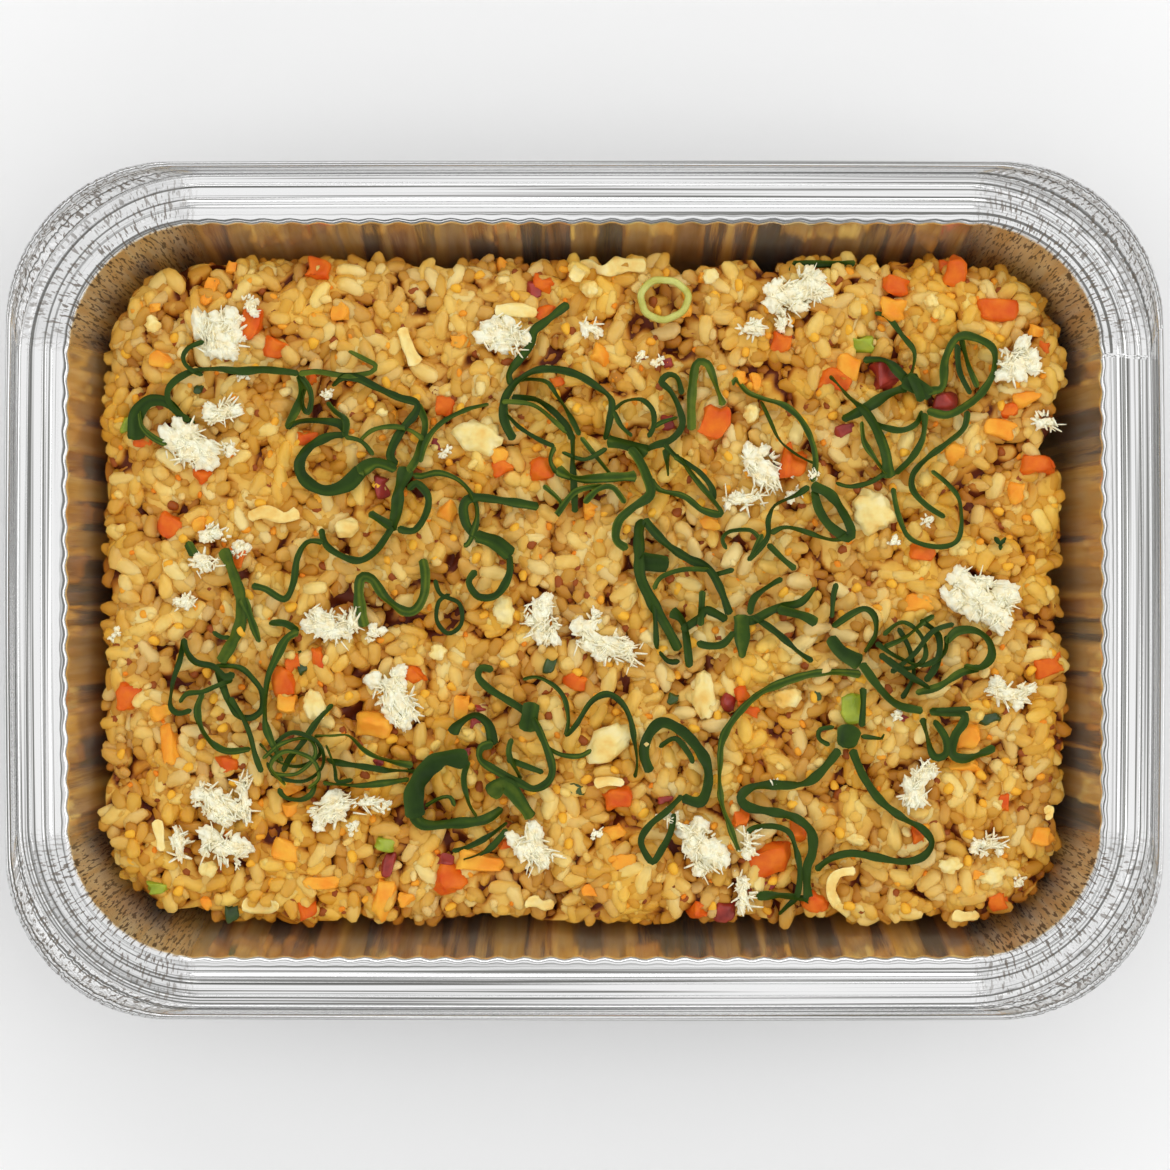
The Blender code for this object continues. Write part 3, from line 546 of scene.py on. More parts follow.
def grain_mesh(name, length, thickness, segments, rings, bend, seed):
    """One grain: an egg-ended, slightly bent spindle."""
    rule = random.Random(seed)
    bm = bmesh.new()
    bmesh.ops.create_uvsphere(bm, u_segments=segments, v_segments=rings, radius=1)
    for vert in bm.verts:
        along = vert.co.z
        full = (1 - along**2) ** 0.5
        round_end = (1 - abs(along) ** 3.2) ** 0.5 if full else 0
        swell = round_end / full if full else 1
        side = vert.co.x * swell * rule.uniform(0.94, 1.06)
        up = vert.co.y * swell * rule.uniform(0.94, 1.06)
        taper = 1 - 0.14 * along
        vert.co = (
            along * length / 2,
            side * thickness / 2 * taper + bend * (1 - along**2),
            up * thickness / 2 * 0.84 * taper,
        )
    bmesh.ops.recalc_face_normals(bm, faces=bm.faces)
    return linked(bm, name)


def scatter_tree():
    """Scatters grains over a surface, each turned, tipped, sized and sunk at random."""
    tree = bpy.data.node_groups.new("loose grains", "GeometryNodeTree")
    kinds = {"Surface": "Geometry", "Grain": "Object", "Seed": "Int", "Finish": "Material"}
    for label in ("Surface", "Grain", "Spacing", "Tip", "Sink", "Smallest", "Seed", "Chance", "Finish"):
        kind = "NodeSocket" + kinds.get(label, "Float")
        tree.interface.new_socket(label, in_out="INPUT", socket_type=kind)
    tree.interface.new_socket("Grains", in_out="OUTPUT", socket_type="NodeSocketGeometry")
    given = tree.nodes.new("NodeGroupInput").outputs

    def worked_out(operation, *values):
        return wired(tree, "ShaderNodeMath", dict(enumerate(values)), operation=operation).outputs[0]

    def at_random(kind, limits):
        limits = {**limits, "Seed": given["Seed"]}
        return wired(tree, "FunctionNodeRandomValue", limits, data_type=kind).outputs

    def vector(**parts):
        return wired(tree, "ShaderNodeCombineXYZ", parts).outputs[0]

    over = {"Mesh": given["Surface"], "Distance Min": given["Spacing"], "Seed": given["Seed"]}
    over["Density Max"] = MOST_TO_A_METRE
    spots = wired(tree, "GeometryNodeDistributePointsOnFaces", over, distribute_method="POISSON")
    packed = wired(tree, "GeometryNodeInputNamedAttribute", {"Name": "packed"}).outputs["Attribute"]
    keep = at_random("BOOLEAN", {"Probability": worked_out("ADD", packed, given["Chance"])})[3]
    found = {"Geometry": spots.outputs["Points"], "Selection": keep}
    kept = wired(tree, "GeometryNodeSeparateGeometry", found)
    lower = worked_out("MULTIPLY", at_random("FLOAT", {2: -1, 3: 1})[1], given["Sink"])
    sunk = {"Geometry": kept.outputs["Selection"], "Offset": vector(Z=lower)}
    moved = wired(tree, "GeometryNodeSetPosition", sunk)
    tip = given["Tip"]
    back = worked_out("MULTIPLY", tip, -1)
    most = {"Min": vector(X=back, Y=back, Z=-0.8), "Max": vector(X=tip, Y=tip, Z=0.8)}
    swirl = wired(tree, "ShaderNodeTexNoise", {"Scale": 90, "Detail": 0}).outputs["Fac"]
    heading = vector(Z=worked_out("MULTIPLY", swirl, 22))
    facing = wired(tree, "ShaderNodeVectorMath", {0: at_random("FLOAT_VECTOR", most)[0], 1: heading})
    grain = wired(tree, "GeometryNodeObjectInfo", {"Object": given["Grain"]})
    laid = {
        "Points": moved.outputs["Geometry"],
        "Instance": grain.outputs["Geometry"],
        "Rotation": facing.outputs[0],
        "Scale": at_random("FLOAT", {2: given["Smallest"], 3: 1.1})[1],
    }
    lay = wired(tree, "GeometryNodeInstanceOnPoints", laid)
    tint = {"Geometry": lay.outputs["Instances"], "Name": "tint", "Value": at_random("FLOAT", {})[1]}
    named = wired(tree, "GeometryNodeStoreNamedAttribute", tint, domain="INSTANCE")
    real = wired(tree, "GeometryNodeRealizeInstances", {"Geometry": named.outputs["Geometry"]})
    finish = {"Geometry": real.outputs["Geometry"], "Material": given["Finish"]}
    done = wired(tree, "GeometryNodeSetMaterial", finish)
    wired(tree, "NodeGroupOutput", {"Grains": done.outputs["Geometry"]})
    return tree


loose_grains = scatter_tree()


def roughen(mesh):
    """Dents the grains by a noise as coarse as they are thick, and keeps them off the wall."""
    places = np.empty(len(mesh.vertices) * 3, np.float32)
    mesh.vertices.foreach_get("co", places)
    places = places.reshape(-1, 3)
    for place in places:
        start = Vector(place.tolist())
        place += GRAIN_DENT * np.array(noise.noise_vector(start / GRAIN_DENT_SIZE))
    inset = wall_inset(places[:, 2]) + WALL_ROOM
    corner = wall_corner(inset)
    half = np.stack((TRAY_LENGTH / 2 - inset - corner, TRAY_WIDTH / 2 - inset - corner), axis=1)
    out = np.maximum(np.abs(places[:, :2]) - half, 0)
    beyond = np.maximum(np.linalg.norm(out, axis=1), 1e-9)
    kept = np.minimum(1, corner / beyond)[:, None]
    inside = np.sign(places[:, :2]) * (np.minimum(np.abs(places[:, :2]), half) + out * kept)
    places[:, :2] = inside
    mesh.vertices.foreach_set("co", places.ravel())
    mesh.update()


def scatter(name, surface, **values):
    """The grains of one kind as a plain mesh of their own."""
    holder = bpy.data.objects.new(name, surface.data)
    bpy.context.scene.collection.objects.link(holder)
    modifier = holder.modifiers.new("Scatter", "NODES")
    sockets = {item.name: item.identifier for item in loose_grains.interface.items_tree}
    modifier.node_group = loose_grains
    for label, value in values.items():
        modifier[sockets[label]] = value
    graph = bpy.context.evaluated_depsgraph_get()
    holder.data = bpy.data.meshes.new_from_object(holder.evaluated_get(graph))
    holder.modifiers.clear()
    holder.data.name = name
    roughen(holder.data)
    return holder


golden = food_material(
    "golden rice",
    ((0.2, (0.64, 0.31, 0.035)), (0.8, (0.93, 0.69, 0.22)), (0.5, (0.82, 0.48, 0.075))),
    0.34, 170, subsurface=0.55, bump_distance=0.3 * MM, attribute="tint", spread=0.35, shine=0.3,
    drift=GOLDEN_STAIN,
)  # fmt: skip
pale = food_material(
    "pale rice",
    ((0.15, (0.80, 0.50, 0.09)), (0.85, (0.98, 0.81, 0.36))),
    0.30, 170, subsurface=0.55, bump_distance=0.3 * MM, attribute="tint", spread=0.35, shine=0.35,
    drift=GOLDEN_STAIN,
)  # fmt: skip
# The browned finish goes to the deep grains: browned rice, and darker than the upper grains also as painted
# shade of their depth
browned = food_material(
    "browned rice",
    ((0.15, (0.54, 0.22, 0.02)), (0.85, (0.80, 0.48, 0.08))),
    0.4, 170, bump_distance=0.3 * MM, attribute="tint", spread=0.5, shine=0.25, drift=GOLDEN_STAIN,
)  # fmt: skip
crumbs = food_material(
    "carrot crumbs", ((0.2, (0.90, 0.26, 0.012)), (0.8, (0.96, 0.50, 0.04))), 0.4, 200,
    attribute="tint", shine=0.2,
)  # fmt: skip
specks = food_material(
    "browned sauce", ((0.2, (0.09, 0.012, 0.005)), (0.8, (0.34, 0.08, 0.012))), 0.4, 200,
    attribute="tint", shine=0.2,
)  # fmt: skip
whole = grain_mesh("whole_grain", 8.0 * MM, 4.1 * MM, 8, 6, 0.4 * MM, 1)
short = grain_mesh("short_grain", 6.2 * MM, 3.9 * MM, 7, 6, 0.2 * MM, 5)
deep = grain_mesh("deep_grain", 7.2 * MM, 4.0 * MM, 6, 5, 0.3 * MM, 2)
broken = grain_mesh("broken_grain", 3.2 * MM, 2.5 * MM, 6, 5, 0, 6)
lower_surface = linked(rice_surface(110, 80, 0.8 * MM, 1.9 * MM, 0.3 * MM), "lower_surface")
upper_surface = linked(rice_surface(110, 80, 1.3 * MM, 1.6 * MM, 0.3 * MM), "upper_surface")
top_surface = linked(rice_surface(110, 80, 2.5 * MM, -0.1 * MM, 0.3 * MM), "top_surface")
# Name, surface and grain, then spacing, tip, sink, smallest size, seed, chance and material
SCATTERED = (
    ("rice_deep", lower_surface, deep, 3.4, 0.7, 0.7, 0.8, 3, 1.0, browned),
    ("rice_golden", upper_surface, whole, 4.1, 0.4, 1.0, 0.75, 8, 0.0, golden),
    ("rice_short", upper_surface, short, 4.3, 0.5, 1.0, 0.75, 17, 0.0, golden),
    ("rice_pale", upper_surface, whole, 4.3, 0.4, 1.0, 0.75, 29, 0.0, pale),
    ("rice_broken", top_surface, broken, 9.0, 0.6, 0.7, 0.5, 41, 0.0, pale),
    ("orange_crumbs", top_surface, broken, 7.0, 0.6, 0.5, 0.5, 52, 0.0, crumbs),
    ("sauce_specks", upper_surface, broken, 4.5, 0.6, 1.0, 0.4, 63, 0.3, specks),
)
grains = []
for name, surface, grain, spacing, tip, sink, smallest, seed, chance, finish in SCATTERED:
    scattered = scatter(
        name, surface, Grain=grain, Spacing=spacing * MM, Tip=tip, Sink=sink * MM, Smallest=smallest,
        Seed=seed, Chance=chance, Finish=finish,
    )  # fmt: skip
    grains.append(scattered)
for helper in (whole, short, deep, broken, lower_surface, upper_surface, top_surface):
    bpy.data.objects.remove(helper, do_unlink=True)
for piece in grains:
    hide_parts("rice")
    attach(piece, "root")


# Carrot was diced raw and cooked through: soft-edged cubes and offcuts of bright orange, tipped every
# way, their corners rounded by the pan. Diced red meat and sweet orange squash lie among them.
CARROT = (
    (-89.6, 71.4, 5, 8), (-82, 64.7, 6.5, 5.5), (-71.4, 86, 6, 6), (-110, 16.9, 8, 6),
    (-102.1, 31.2, 5, 5), (-118.3, 39.7, 5, 3), (-74.7, 40.6, 6, 4), (-73.2, 57.4, 3, 5),
    (-93, 8.6, 5, 6), (-10.4, 82.3, 5.5, 5.5), (-9.8, 74.4, 6, 4.5), (-37.5, 49.5, 5, 5),
    (-21.4, 33, 6.5, 5), (-11.9, 32.1, 6.5, 6), (35, 44.6, 7, 9), (-7.1, 56.2, 5, 3), (102.5, 88, 5.5, 7),
    (97.5, 86.8, 5, 4.5), (83.9, 81.7, 7.5, 4.5), (110.6, 75, 10, 5), (53.1, 66.5, 5, 5),
    (67.4, 56.2, 8, 6), (55.8, 34.2, 7, 9), (125.9, 34.8, 10, 5.5), (114.3, 48.2, 4, 3.5),
    (123.7, 65.3, 4, 3), (90.5, 9.9, 6, 4), (-121.9, -28.6, 8, 8), (-80.2, -24.4, 6.5, 7),
    (-78.4, -19.5, 5, 5), (-71.1, -18.3, 3.5, 6), (-46.1, -22.5, 7, 6), (-95.7, -46.6, 5, 5),
    (-74.1, -85.9, 5.5, 6), (9.4, -55.4, 7, 5.5), (-35.7, -77.3, 7.5, 8), (-20.2, -67.6, 6, 3),
    (31.9, -87.5, 6, 5.5), (-1.9, -24.7, 6, 4), (42.5, -27.4, 5, 4), (44.3, -32, 6, 3), (42.2, -61, 5, 6),
    (127.5, -20.7, 7.5, 5), (112.5, -57.2, 3.5, 5), (112.5, -84, 5, 6), (49.7, -72.5, 10, 8),
    (57.7, -64.6, 5, 6), (64.4, -85.9, 7, 5), (89.9, -65.8, 4, 5),
)  # fmt: skip
RED_MEAT = (
    (-54.3, 28.1, 4.5, 6), (-13.5, 80.5, 3.5, 4), (-39.6, 39.1, 3, 3), (22.5, 61, 2.5, 2.5),
    (22.5, 45.2, 4, 4), (96.6, 50.7, 6, 5), (82, 57.5, 9, 7), (69.8, 43.4, 5, 3), (-52.5, -73.7, 3, 6),
    (-55, -46, 3, 2), (38.3, -87.1, 6, 5), (38.6, -30.5, 4, 5), (-27.5, -31.7, 4, 2.5),
    (-33, -43.8, 5, 2), (-28.7, -35.3, 4, 4), (21.9, -56, 4, 2), (-36.9, -72.5, 5, 3),
    (47.9, -79.8, 8, 3), (86.3, -34.7, 3.5, 2),
)  # fmt: skip
SQUASH = (
    (-100.6, 79.9, 5, 8), (-121.3, 76.9, 4, 3), (-115.2, 76.2, 3.5, 2.5), (-95.7, 87.5, 2.5, 3),
    (-113.1, 61.9, 6, 4), (-65, 74.4, 5, 5), (-103.3, 17.5, 3.5, 5), (-22.9, 36.7, 5, 4),
    (-36.3, 21.4, 5, 6), (4.8, 62.8, 6, 6), (32.8, 83.9, 4.5, 3), (27.3, 75, 3, 3), (-33.6, 66.8, 4.5, 3),
    (-22.3, 90.6, 4, 4), (1.8, 22, 5, 5), (42.4, 56.8, 4, 4), (46.1, 56.2, 3, 5), (34, 17.8, 5, 3.5),
    (82.6, 75.6, 7, 7), (71, 59.8, 6, 6), (119.8, 51.9, 9.5, 4), (111.9, 43.4, 9, 5), (99.7, 36.7, 5, 7),
    (116.7, 26.3, 6, 6), (121.9, 69.5, 4, 3), (-111.2, -41.4, 4, 11), (-113.7, -32.9, 5, 5),
    (-55.8, -35.9, 9, 6), (-79.6, -70, 7, 6), (-54.6, -84, 5, 11), (-69.8, -78.6, 9, 3),
    (-78.4, -53, 6, 3), (-78.4, -58.5, 5, 4), (-107.3, -88.9, 3, 4), (-32.9, -31.1, 5, 6),
    (-27.5, -73.1, 12, 5), (8.2, -65.2, 5.5, 4), (12.1, -73.1, 8, 5), (1.8, -81, 4, 3),
    (-47.6, -82.8, 5, 4), (102.7, -39, 7, 6), (102.1, -46.9, 10, 4), (123.4, -66.4, 5.5, 5),
    (89.9, -3.7, 8, 5), (-79.6, -30.5, 6, 5), (106.4, -76.7, 4, 3),
)  # fmt: skip
DICE_LEVEL = 0.3 * MM
DICE_HIGHEST = 6.5
DICE_TIP = 0.35


def join_into(bm, part):
    """Adds a finished part to a mesh in the making."""
    scratch = bpy.data.meshes.new("part")
    part.to_mesh(scratch)
    part.free()
    bm.from_mesh(scratch)
    bpy.data.meshes.remove(scratch)


def diced(name, pieces, soft, seed):
    """Soft-edged blocks, each lying on the grains at its own tip and turn."""
    rule = random.Random(seed)
    bm = bmesh.new()
    for x, y, along, across in pieces:
        block = bmesh.new()
        bmesh.ops.create_cube(block, size=1)
        bmesh.ops.bevel(block, geom=block.edges[:], offset=soft, segments=2, profile=0.6, affect="EDGES")
        bmesh.ops.subdivide_edges(block, edges=block.edges[:], cuts=1, use_grid_fill=True)
        high = min(along, across, DICE_HIGHEST)
        start = rule.uniform(0, 99)
        lean = rule.uniform(0, 0.45)
        for vert in block.verts:
            dent = noise.noise_vector(vert.co * 1.6 + Vector((start, 0, 0))) * 0.3
            slanted = vert.co * (1 - lean * (vert.co.x + 0.5))
            vert.co = (slanted + dent) * Vector((along, across, high)) * MM
        turn = Euler([rule.uniform(-DICE_TIP, DICE_TIP) for _ in range(3)])
        x, y = moved_in(x * MM, y * MM, 0.4 * max(along, across) * MM)
        place = Vector((x, y, rice_top(x, y) + DICE_LEVEL - 0.18 * high * MM))
        bmesh.ops.transform(block, matrix=turn.to_matrix().to_4x4(), verts=block.verts)
        bmesh.ops.translate(block, verts=block.verts, vec=place)
        join_into(bm, block)
    return linked(bm, name)


carrot = food_material(
    "cooked carrot", ((0.3, (0.70, 0.080, 0.006)), (0.75, (0.86, 0.21, 0.012))), 0.4, 220,
    subsurface=0.25, bump_distance=0.2 * MM, shine=0.2,
)  # fmt: skip
red_meat = food_material(
    "red meat", ((0.3, (0.20, 0.010, 0.008)), (0.75, (0.46, 0.045, 0.025))), 0.4, 260,
    bump_distance=0.15 * MM,
)  # fmt: skip
squash = food_material(
    "orange squash", ((0.3, (0.93, 0.30, 0.02)), (0.75, (0.97, 0.50, 0.05))), 0.4, 200,
    subsurface=0.25, bump_distance=0.2 * MM, shine=0.2,
)  # fmt: skip
for name, pieces, soft, seed, finish in (
    ("carrot_cubes", CARROT, 0.22, 4, carrot),
    ("red_meat_pieces", RED_MEAT, 0.2, 5, red_meat),
    ("squash_pieces", SQUASH, 0.24, 6, squash),
):
    piece = diced(name, pieces, soft, seed)
    piece.data.materials.append(finish)
    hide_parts("rice")
    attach(piece, "root")


# The egg was scrambled in the pan: pale yellow curds, torn into lumps and folded strips, browned a
# little at their edges. They lie half sunk among the grains.
EGG_LUMPS = (
    (77.1, 21.4, 10, 12, 60), (6.5, -41, 8, 13, -55), (-28.1, 41, 8, 12, 70), (54.6, -28.6, 7, 5, 0),
    (-21.4, -5.5, 5.5, 7, 10), (-72.3, -31.1, 5.5, 8, 20), (-54.3, 47.6, 3, 2, 0),
    (-63.7, 16.6, 6, 5, 30), (-116, 71.4, 4, 4, 0), (35.3, 88.4, 4, 4, 0), (1.5, 81.1, 4, 4, 0),
    (93, 77.5, 3.5, 3.5, 0), (44.9, 47.6, 4, 5, 0), (-100.9, -74.9, 4.5, 4.5, 0), (97.9, -73.7, 6, 4, 0),
    (109.4, -76.7, 7, 4, 20), (32.2, -28.6, 6, 12, 5), (-39.3, -16.4, 4, 4, 0), (72.9, -67, 4.5, 3, 0),
)  # fmt: skip
# Width at either end of a strip, then the places along its middle, in millimetres
EGG_STRIPS = (
    (3, 4, -3, 83, 0, 87.5, 6, 89, 12, 89.7, 17, 90),
    (2.6, 3.4, -49, 70.5, -47.3, 65.3, -45, 60.5),
    (2.6, 2.2, 72.5, -75, 67.5, -76, 66, -80.5, 69, -86, 73, -88.5),
    (3.4, 3, -24, 74.7, -18.3, 75.2, -12.8, 74.2),
    (3.2, 3, -90, 19.5, -85.5, 21, -80.5, 19.5, -76.5, 21),
    (2.2, 2.2, -114.8, -61.5, -114, -66, -113.6, -70),
    (3.6, 3.2, -92, -84.2, -87, -85.3, -82, -84.4),
    (2.4, 2, 2.6, -51.8, 6.6, -51, 10.6, -51.6),
    (2.8, 2.4, -16, -84.2, -12, -85, -8.2, -84.3),
    (2.4, 2.6, 123.5, -58.5, 126.3, -60, 127.5, -63),
    (2.2, 2.2, 100, -88.4, 104, -89.3, 107.8, -88.6),
)  # fmt: skip
EGG_LEVEL = 1.5 * MM


def turned(u, v, turn):
    return Vector((u * math.cos(turn) - v * math.sin(turn), u * math.sin(turn) + v * math.cos(turn), 0))


curds = bmesh.new()
rule = random.Random(14)
for x, y, along, across, degrees in EGG_LUMPS:
    lump = bmesh.new()
    bmesh.ops.create_icosphere(lump, subdivisions=3, radius=0.5)
    start = Vector((rule.uniform(0, 99), 0, 0))
    x, y = moved_in(x * MM, y * MM, 0.4 * max(along, across) * MM)
    thick = 2.6 + 0.08 * min(along, across)
    middle = Vector((x, y, rice_top(x, y) + EGG_LEVEL))
    for vert in lump.verts:
        ragged = 1 + 0.55 * noise.noise(vert.co * 3.4 + start) + 0.2 * noise.noise(vert.co * 8)
        flat = vert.co * ragged * MM
        vert.co = middle + turned(flat.x * along, flat.y * across, math.radians(degrees))
        vert.co.z += flat.z * thick
    join_into(curds, lump)


def smooth_route(places, step):
    """Points about one step apart on a smooth curve through the places, in metres."""
    ends = [places[0], *places, places[-1]]
    points = []
    for before, start, end, after in zip(ends, ends[1:], ends[2:], ends[3:]):
        p0, p1, p2, p3 = (Vector(p) * MM for p in (before, start, end, after))
        count = max(1, round((p2 - p1).length / step))
        for i in range(count):
            t = i / count
            points.append(
                0.5 * (2 * p1 + (p2 - p0) * t + (2 * p0 - 5 * p1 + 4 * p2 - p3) * t * t)
                + 0.5 * (3 * p1 - p0 - 3 * p2 + p3) * t**3
            )
    points.append(Vector(places[-1]) * MM)
    return points


# Across and under shares of the points round a band
BAND_SECTION = ((-1, 0), (-0.5, 0), (0, 0), (0.5, 0), (1, 0), (0.5, 1), (0, 1), (-0.5, 1))


def lay_strip(bm, shape, rule, rise, thickness, dish, bank, ragged, arch=0.0):
    """Adds a strip over the heap: a closed band, dished and tipped along its length, with its own tint."""
    start_width, end_width, *numbers = shape
    route = smooth_route(list(zip(numbers[::2], numbers[1::2])), 0.9 * MM)
    streak = bm.verts.layers.float.get("tint") or bm.verts.layers.float.new("tint")
    start = rule.uniform(0, 99)
    tint = rule.uniform(0.12, 0.5)
    veins = [rule.uniform(-0.28, 0.28) for _ in BAND_SECTION]
    previous = None
    last = len(route) - 1
    for i, point in enumerate(route):
        point = Vector(moved_in(*point, start_width * MM / 2))
        t = i / last
        ahead = route[min(i + 1, last)] - route[max(i - 1, 0)]
        side = Vector((-ahead.y, ahead.x)).normalized()
        width = (0.45 + 0.95 * (start_width + (end_width - start_width) * t)) * MM
        width *= 1 + ragged * noise.noise(Vector((start, i * 0.22, 0)))
        width *= min(1, 0.35 + 3 * min(t, 1 - t) * last * 0.9 * MM / max(width, MM))
        tip = bank * noise.noise(Vector((start, i * 0.09, 5))) * min(1, 1.8 * MM / width)
        level = rise + arch * math.sin(math.pi * t) + 0.5 * MM * noise.noise(Vector((start, i * 0.12, 9)))
        ground = rice_top(point.x, point.y) + level
        ring = []
        for vein, (across, under) in zip(veins, BAND_SECTION):
            u = across * width / 2
            w = dish * width * (across * across - 0.5) - under * thickness
            x, y = point + side * (u * math.cos(tip) - w * math.sin(tip))
            vert = bm.verts.new((x, y, ground + u * math.sin(tip) + w * math.cos(tip)))
            vert[streak] = min(1, max(0, tint + vein + 0.3 * abs(t - 0.5)))
            ring.append(vert)
        if previous:
            bridge(bm, previous, ring)
        else:
            bm.faces.new(ring)
        previous = ring
    bm.faces.new(previous[::-1])


strips = bmesh.new()
for shape in EGG_STRIPS:
    lay_strip(strips, shape, rule, 2.0 * MM, 1.3 * MM, 0.12, 0.5, 0.5)
bmesh.ops.recalc_face_normals(strips, faces=strips.faces)
join_into(curds, strips)
egg = linked(curds, "scrambled_egg")
cooked_egg = food_material(
    "scrambled egg",
    ((0.25, (0.88, 0.50, 0.08)), (0.8, (0.97, 0.88, 0.50)), (0.5, (0.95, 0.75, 0.26))),
    0.42, 190, subsurface=0.3, bump_distance=0.25 * MM,
)  # fmt: skip
egg.data.materials.append(cooked_egg)
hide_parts("egg_lump_1", "egg_lump_2", "egg_lump_3", "egg_strip_1", "egg_strip_2", "egg_strip_3")
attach(egg, "root")


# The white meat was pulled apart with forks after cooking. Each flake is a clump of short fibres that
# still cling together, torn ragged all round, and finer scraps lie between the flakes.
FLAKES = (
    (-97.2, 68.3, 11, 14, 95), (-89.5, 76.5, 3.5, 6, 50), (-105.8, 38.5, 13, 11, -25),
    (-97.2, 47.6, 9, 6, 20), (-95, 38, 3, 5, 80), (-99, 15.3, 4, 9, 80), (-101.8, 7.4, 6, 6, 0),
    (-92.4, 11, 4, 5, 40), (-107, -3, 4, 6, -70), (-21.4, 68.3, 13, 9, -20), (1.8, 70.2, 5, 4, 0),
    (56.4, 79.9, 17, 10, 22), (44.3, 70.2, 6, 5, 10), (53.4, 71.9, 4, 5, 70), (47.9, 33, 13, 9, -45),
    (56, 25.6, 3, 5, -60), (42.5, 24.2, 11, 4, 5), (115.5, 60.4, 11, 10, 30), (126.5, 46.4, 6, 4, 0),
    (106.3, -1.7, 19, 12, -30), (-69.2, -9.1, 13, 8, -20), (-62.5, -7.9, 9, 4, 85),
    (-56.4, -11.6, 4.5, 4, 0), (-50.3, -28.6, 16, 10, -65), (-11.6, -7.9, 13, 8, -78),
    (6, -14.6, 20, 8, -25), (2.4, -8.5, 6, 3, 85), (-99.1, -56.9, 14, 8, -38), (-91.2, -56.5, 14, 4, 92),
    (-96.6, -68.8, 12, 8, -20), (-108.8, -68.8, 9, 4.5, 95), (-67.4, -58.8, 12, 8, 20),
    (-58.5, -57, 7, 3, 0), (-13.5, -68.8, 12, 9, -55), (31.6, -68.8, 14, 10, -60),
    (24.5, -62.2, 9, 2, -25), (43.7, -67.4, 7, 4, 90), (42.4, -81, 10, 4.5, -75),
    (89.5, -52.5, 15, 7, 65), (113.7, -27.4, 13, 6, -10), (108.2, -68.2, 8, 5, 0),
)  # fmt: skip
SCRAPS = (
    (-68.9, 52.5), (-91.5, 57.4), (15.2, 62.5), (19.7, 61.6), (-37.2, 37.3), (61.3, 30.6), (91.8, 19),
    (82.6, 12.9), (-126.2, -11.9), (-53.4, -57.9), (-62.2, -63.9), (51.6, -51.8), (83.5, -34.1),
    (117, -78), (3, -65.2),
)  # fmt: skip
SCRAP = (3.2, 2.2, 40)
FLAKE_LEVEL = 1.9 * MM
rule = random.Random(31)
pulled = bmesh.new()


def ragged_lump(bm, centre, size, turn, fineness):
    """A lump of clinging fibres: a ball flattened to size, its surface torn at two scales."""
    lump = bmesh.new()
    bmesh.ops.create_icosphere(lump, subdivisions=fineness, radius=0.5)
    start = Vector((rule.uniform(0, 99), 0, 0))
    for vert in lump.verts:
        torn = 1 + 0.6 * noise.noise(vert.co * 3.2 + start) + 0.45 * noise.noise(vert.co * 8 + start)
        vert.co = Vector((vert.co.x * size[0], vert.co.y * size[1], vert.co.z * size[2])) * torn
    bmesh.ops.rotate(lump, verts=lump.verts, matrix=Euler((0, 0, turn)).to_matrix())
    bmesh.ops.translate(lump, verts=lump.verts, vec=centre)
    join_into(bm, lump)


def frayed_end(bm, foot, way, length, thick):
    """One fibre that sticks out of a lump: a three-sided spike."""
    side = way.cross(Vector((0, 0, 1))).normalized()
    up = side.cross(way).normalized()
    corners = [side * math.cos(k * math.tau / 3) + up * math.sin(k * math.tau / 3) for k in range(3)]
    rings = []
    for share, girth in ((0, 1.0), (0.6, 0.85), (1, 0.5)):
        core = foot + way * share * length
        rings.append([bm.verts.new(core + corner * thick / 2 * girth) for corner in corners])
    for near, far in zip(rings, rings[1:]):
        bridge(bm, near, far)
    bm.faces.new(rings[0][::-1])
    bm.faces.new(rings[-1])


for x, y, along, across, degrees in (*FLAKES, *((*place, *SCRAP) for place in SCRAPS)):
    turn = math.radians(degrees)
    x, y = moved_in(x * MM, y * MM, 0.3 * max(along, across) * MM)
    thick = (1.6 + 0.12 * min(along, across)) * MM
    core = Vector((x, y, rice_top(x, y) + FLAKE_LEVEL))
    ragged_lump(pulled, core, (0.7 * along * MM, 0.46 * across * MM, thick), turn, 4 if along > 8 else 3)
    for _ in range(round(along * across / 12)):
        u = rule.uniform(-0.46, 0.46) * along * MM
        v = rule.uniform(-0.4, 0.4) * across * MM
        wide = rule.uniform(0.18, 0.36) * min(along, across) * MM + 0.9 * MM
        beside = turned(u, v, turn)
        lump_size = (wide * rule.uniform(1, 1.7), wide, 0.85 * thick)
        ragged_lump(pulled, core + beside, lump_size, turn + rule.gauss(0, 0.6), 3)
    for _ in range(round(along * across / 2.5)):
        u = rule.uniform(-0.42, 0.42) * along * MM
        v = rule.uniform(-0.38, 0.38) * across * MM
        beside = turned(u, v, turn)
        beside.z = rule.uniform(0.25, 0.55) * thick
        lean = turn + rule.gauss(0, 0.9)
        out = Vector((math.cos(lean), math.sin(lean), rule.uniform(-0.25, 0.25))).normalized()
        length = rule.uniform(2, 4) * MM * min(1, along / 7)
        frayed_end(pulled, core + beside, out, length, rule.uniform(0.5, 0.9) * MM)
    for _ in range(round(0.7 * (along + across)) + 2):
        way = rule.uniform(0, 2 * math.pi)
        u = 0.38 * along * math.cos(way) * MM
        v = 0.36 * across * math.sin(way) * MM
        beside = turned(u, v, turn)
        lean = way + turn + rule.gauss(0, 0.5)
        out = Vector((math.cos(lean), math.sin(lean), rule.uniform(-0.3, 0.25))).normalized()
        length = rule.uniform(1.2, 2.8) * MM * min(1, along / 7)
        frayed_end(pulled, core + beside, out, length, rule.uniform(0.8, 1.4) * MM)
bmesh.ops.recalc_face_normals(pulled, faces=pulled.faces)
meat = linked(pulled, "pulled_meat")
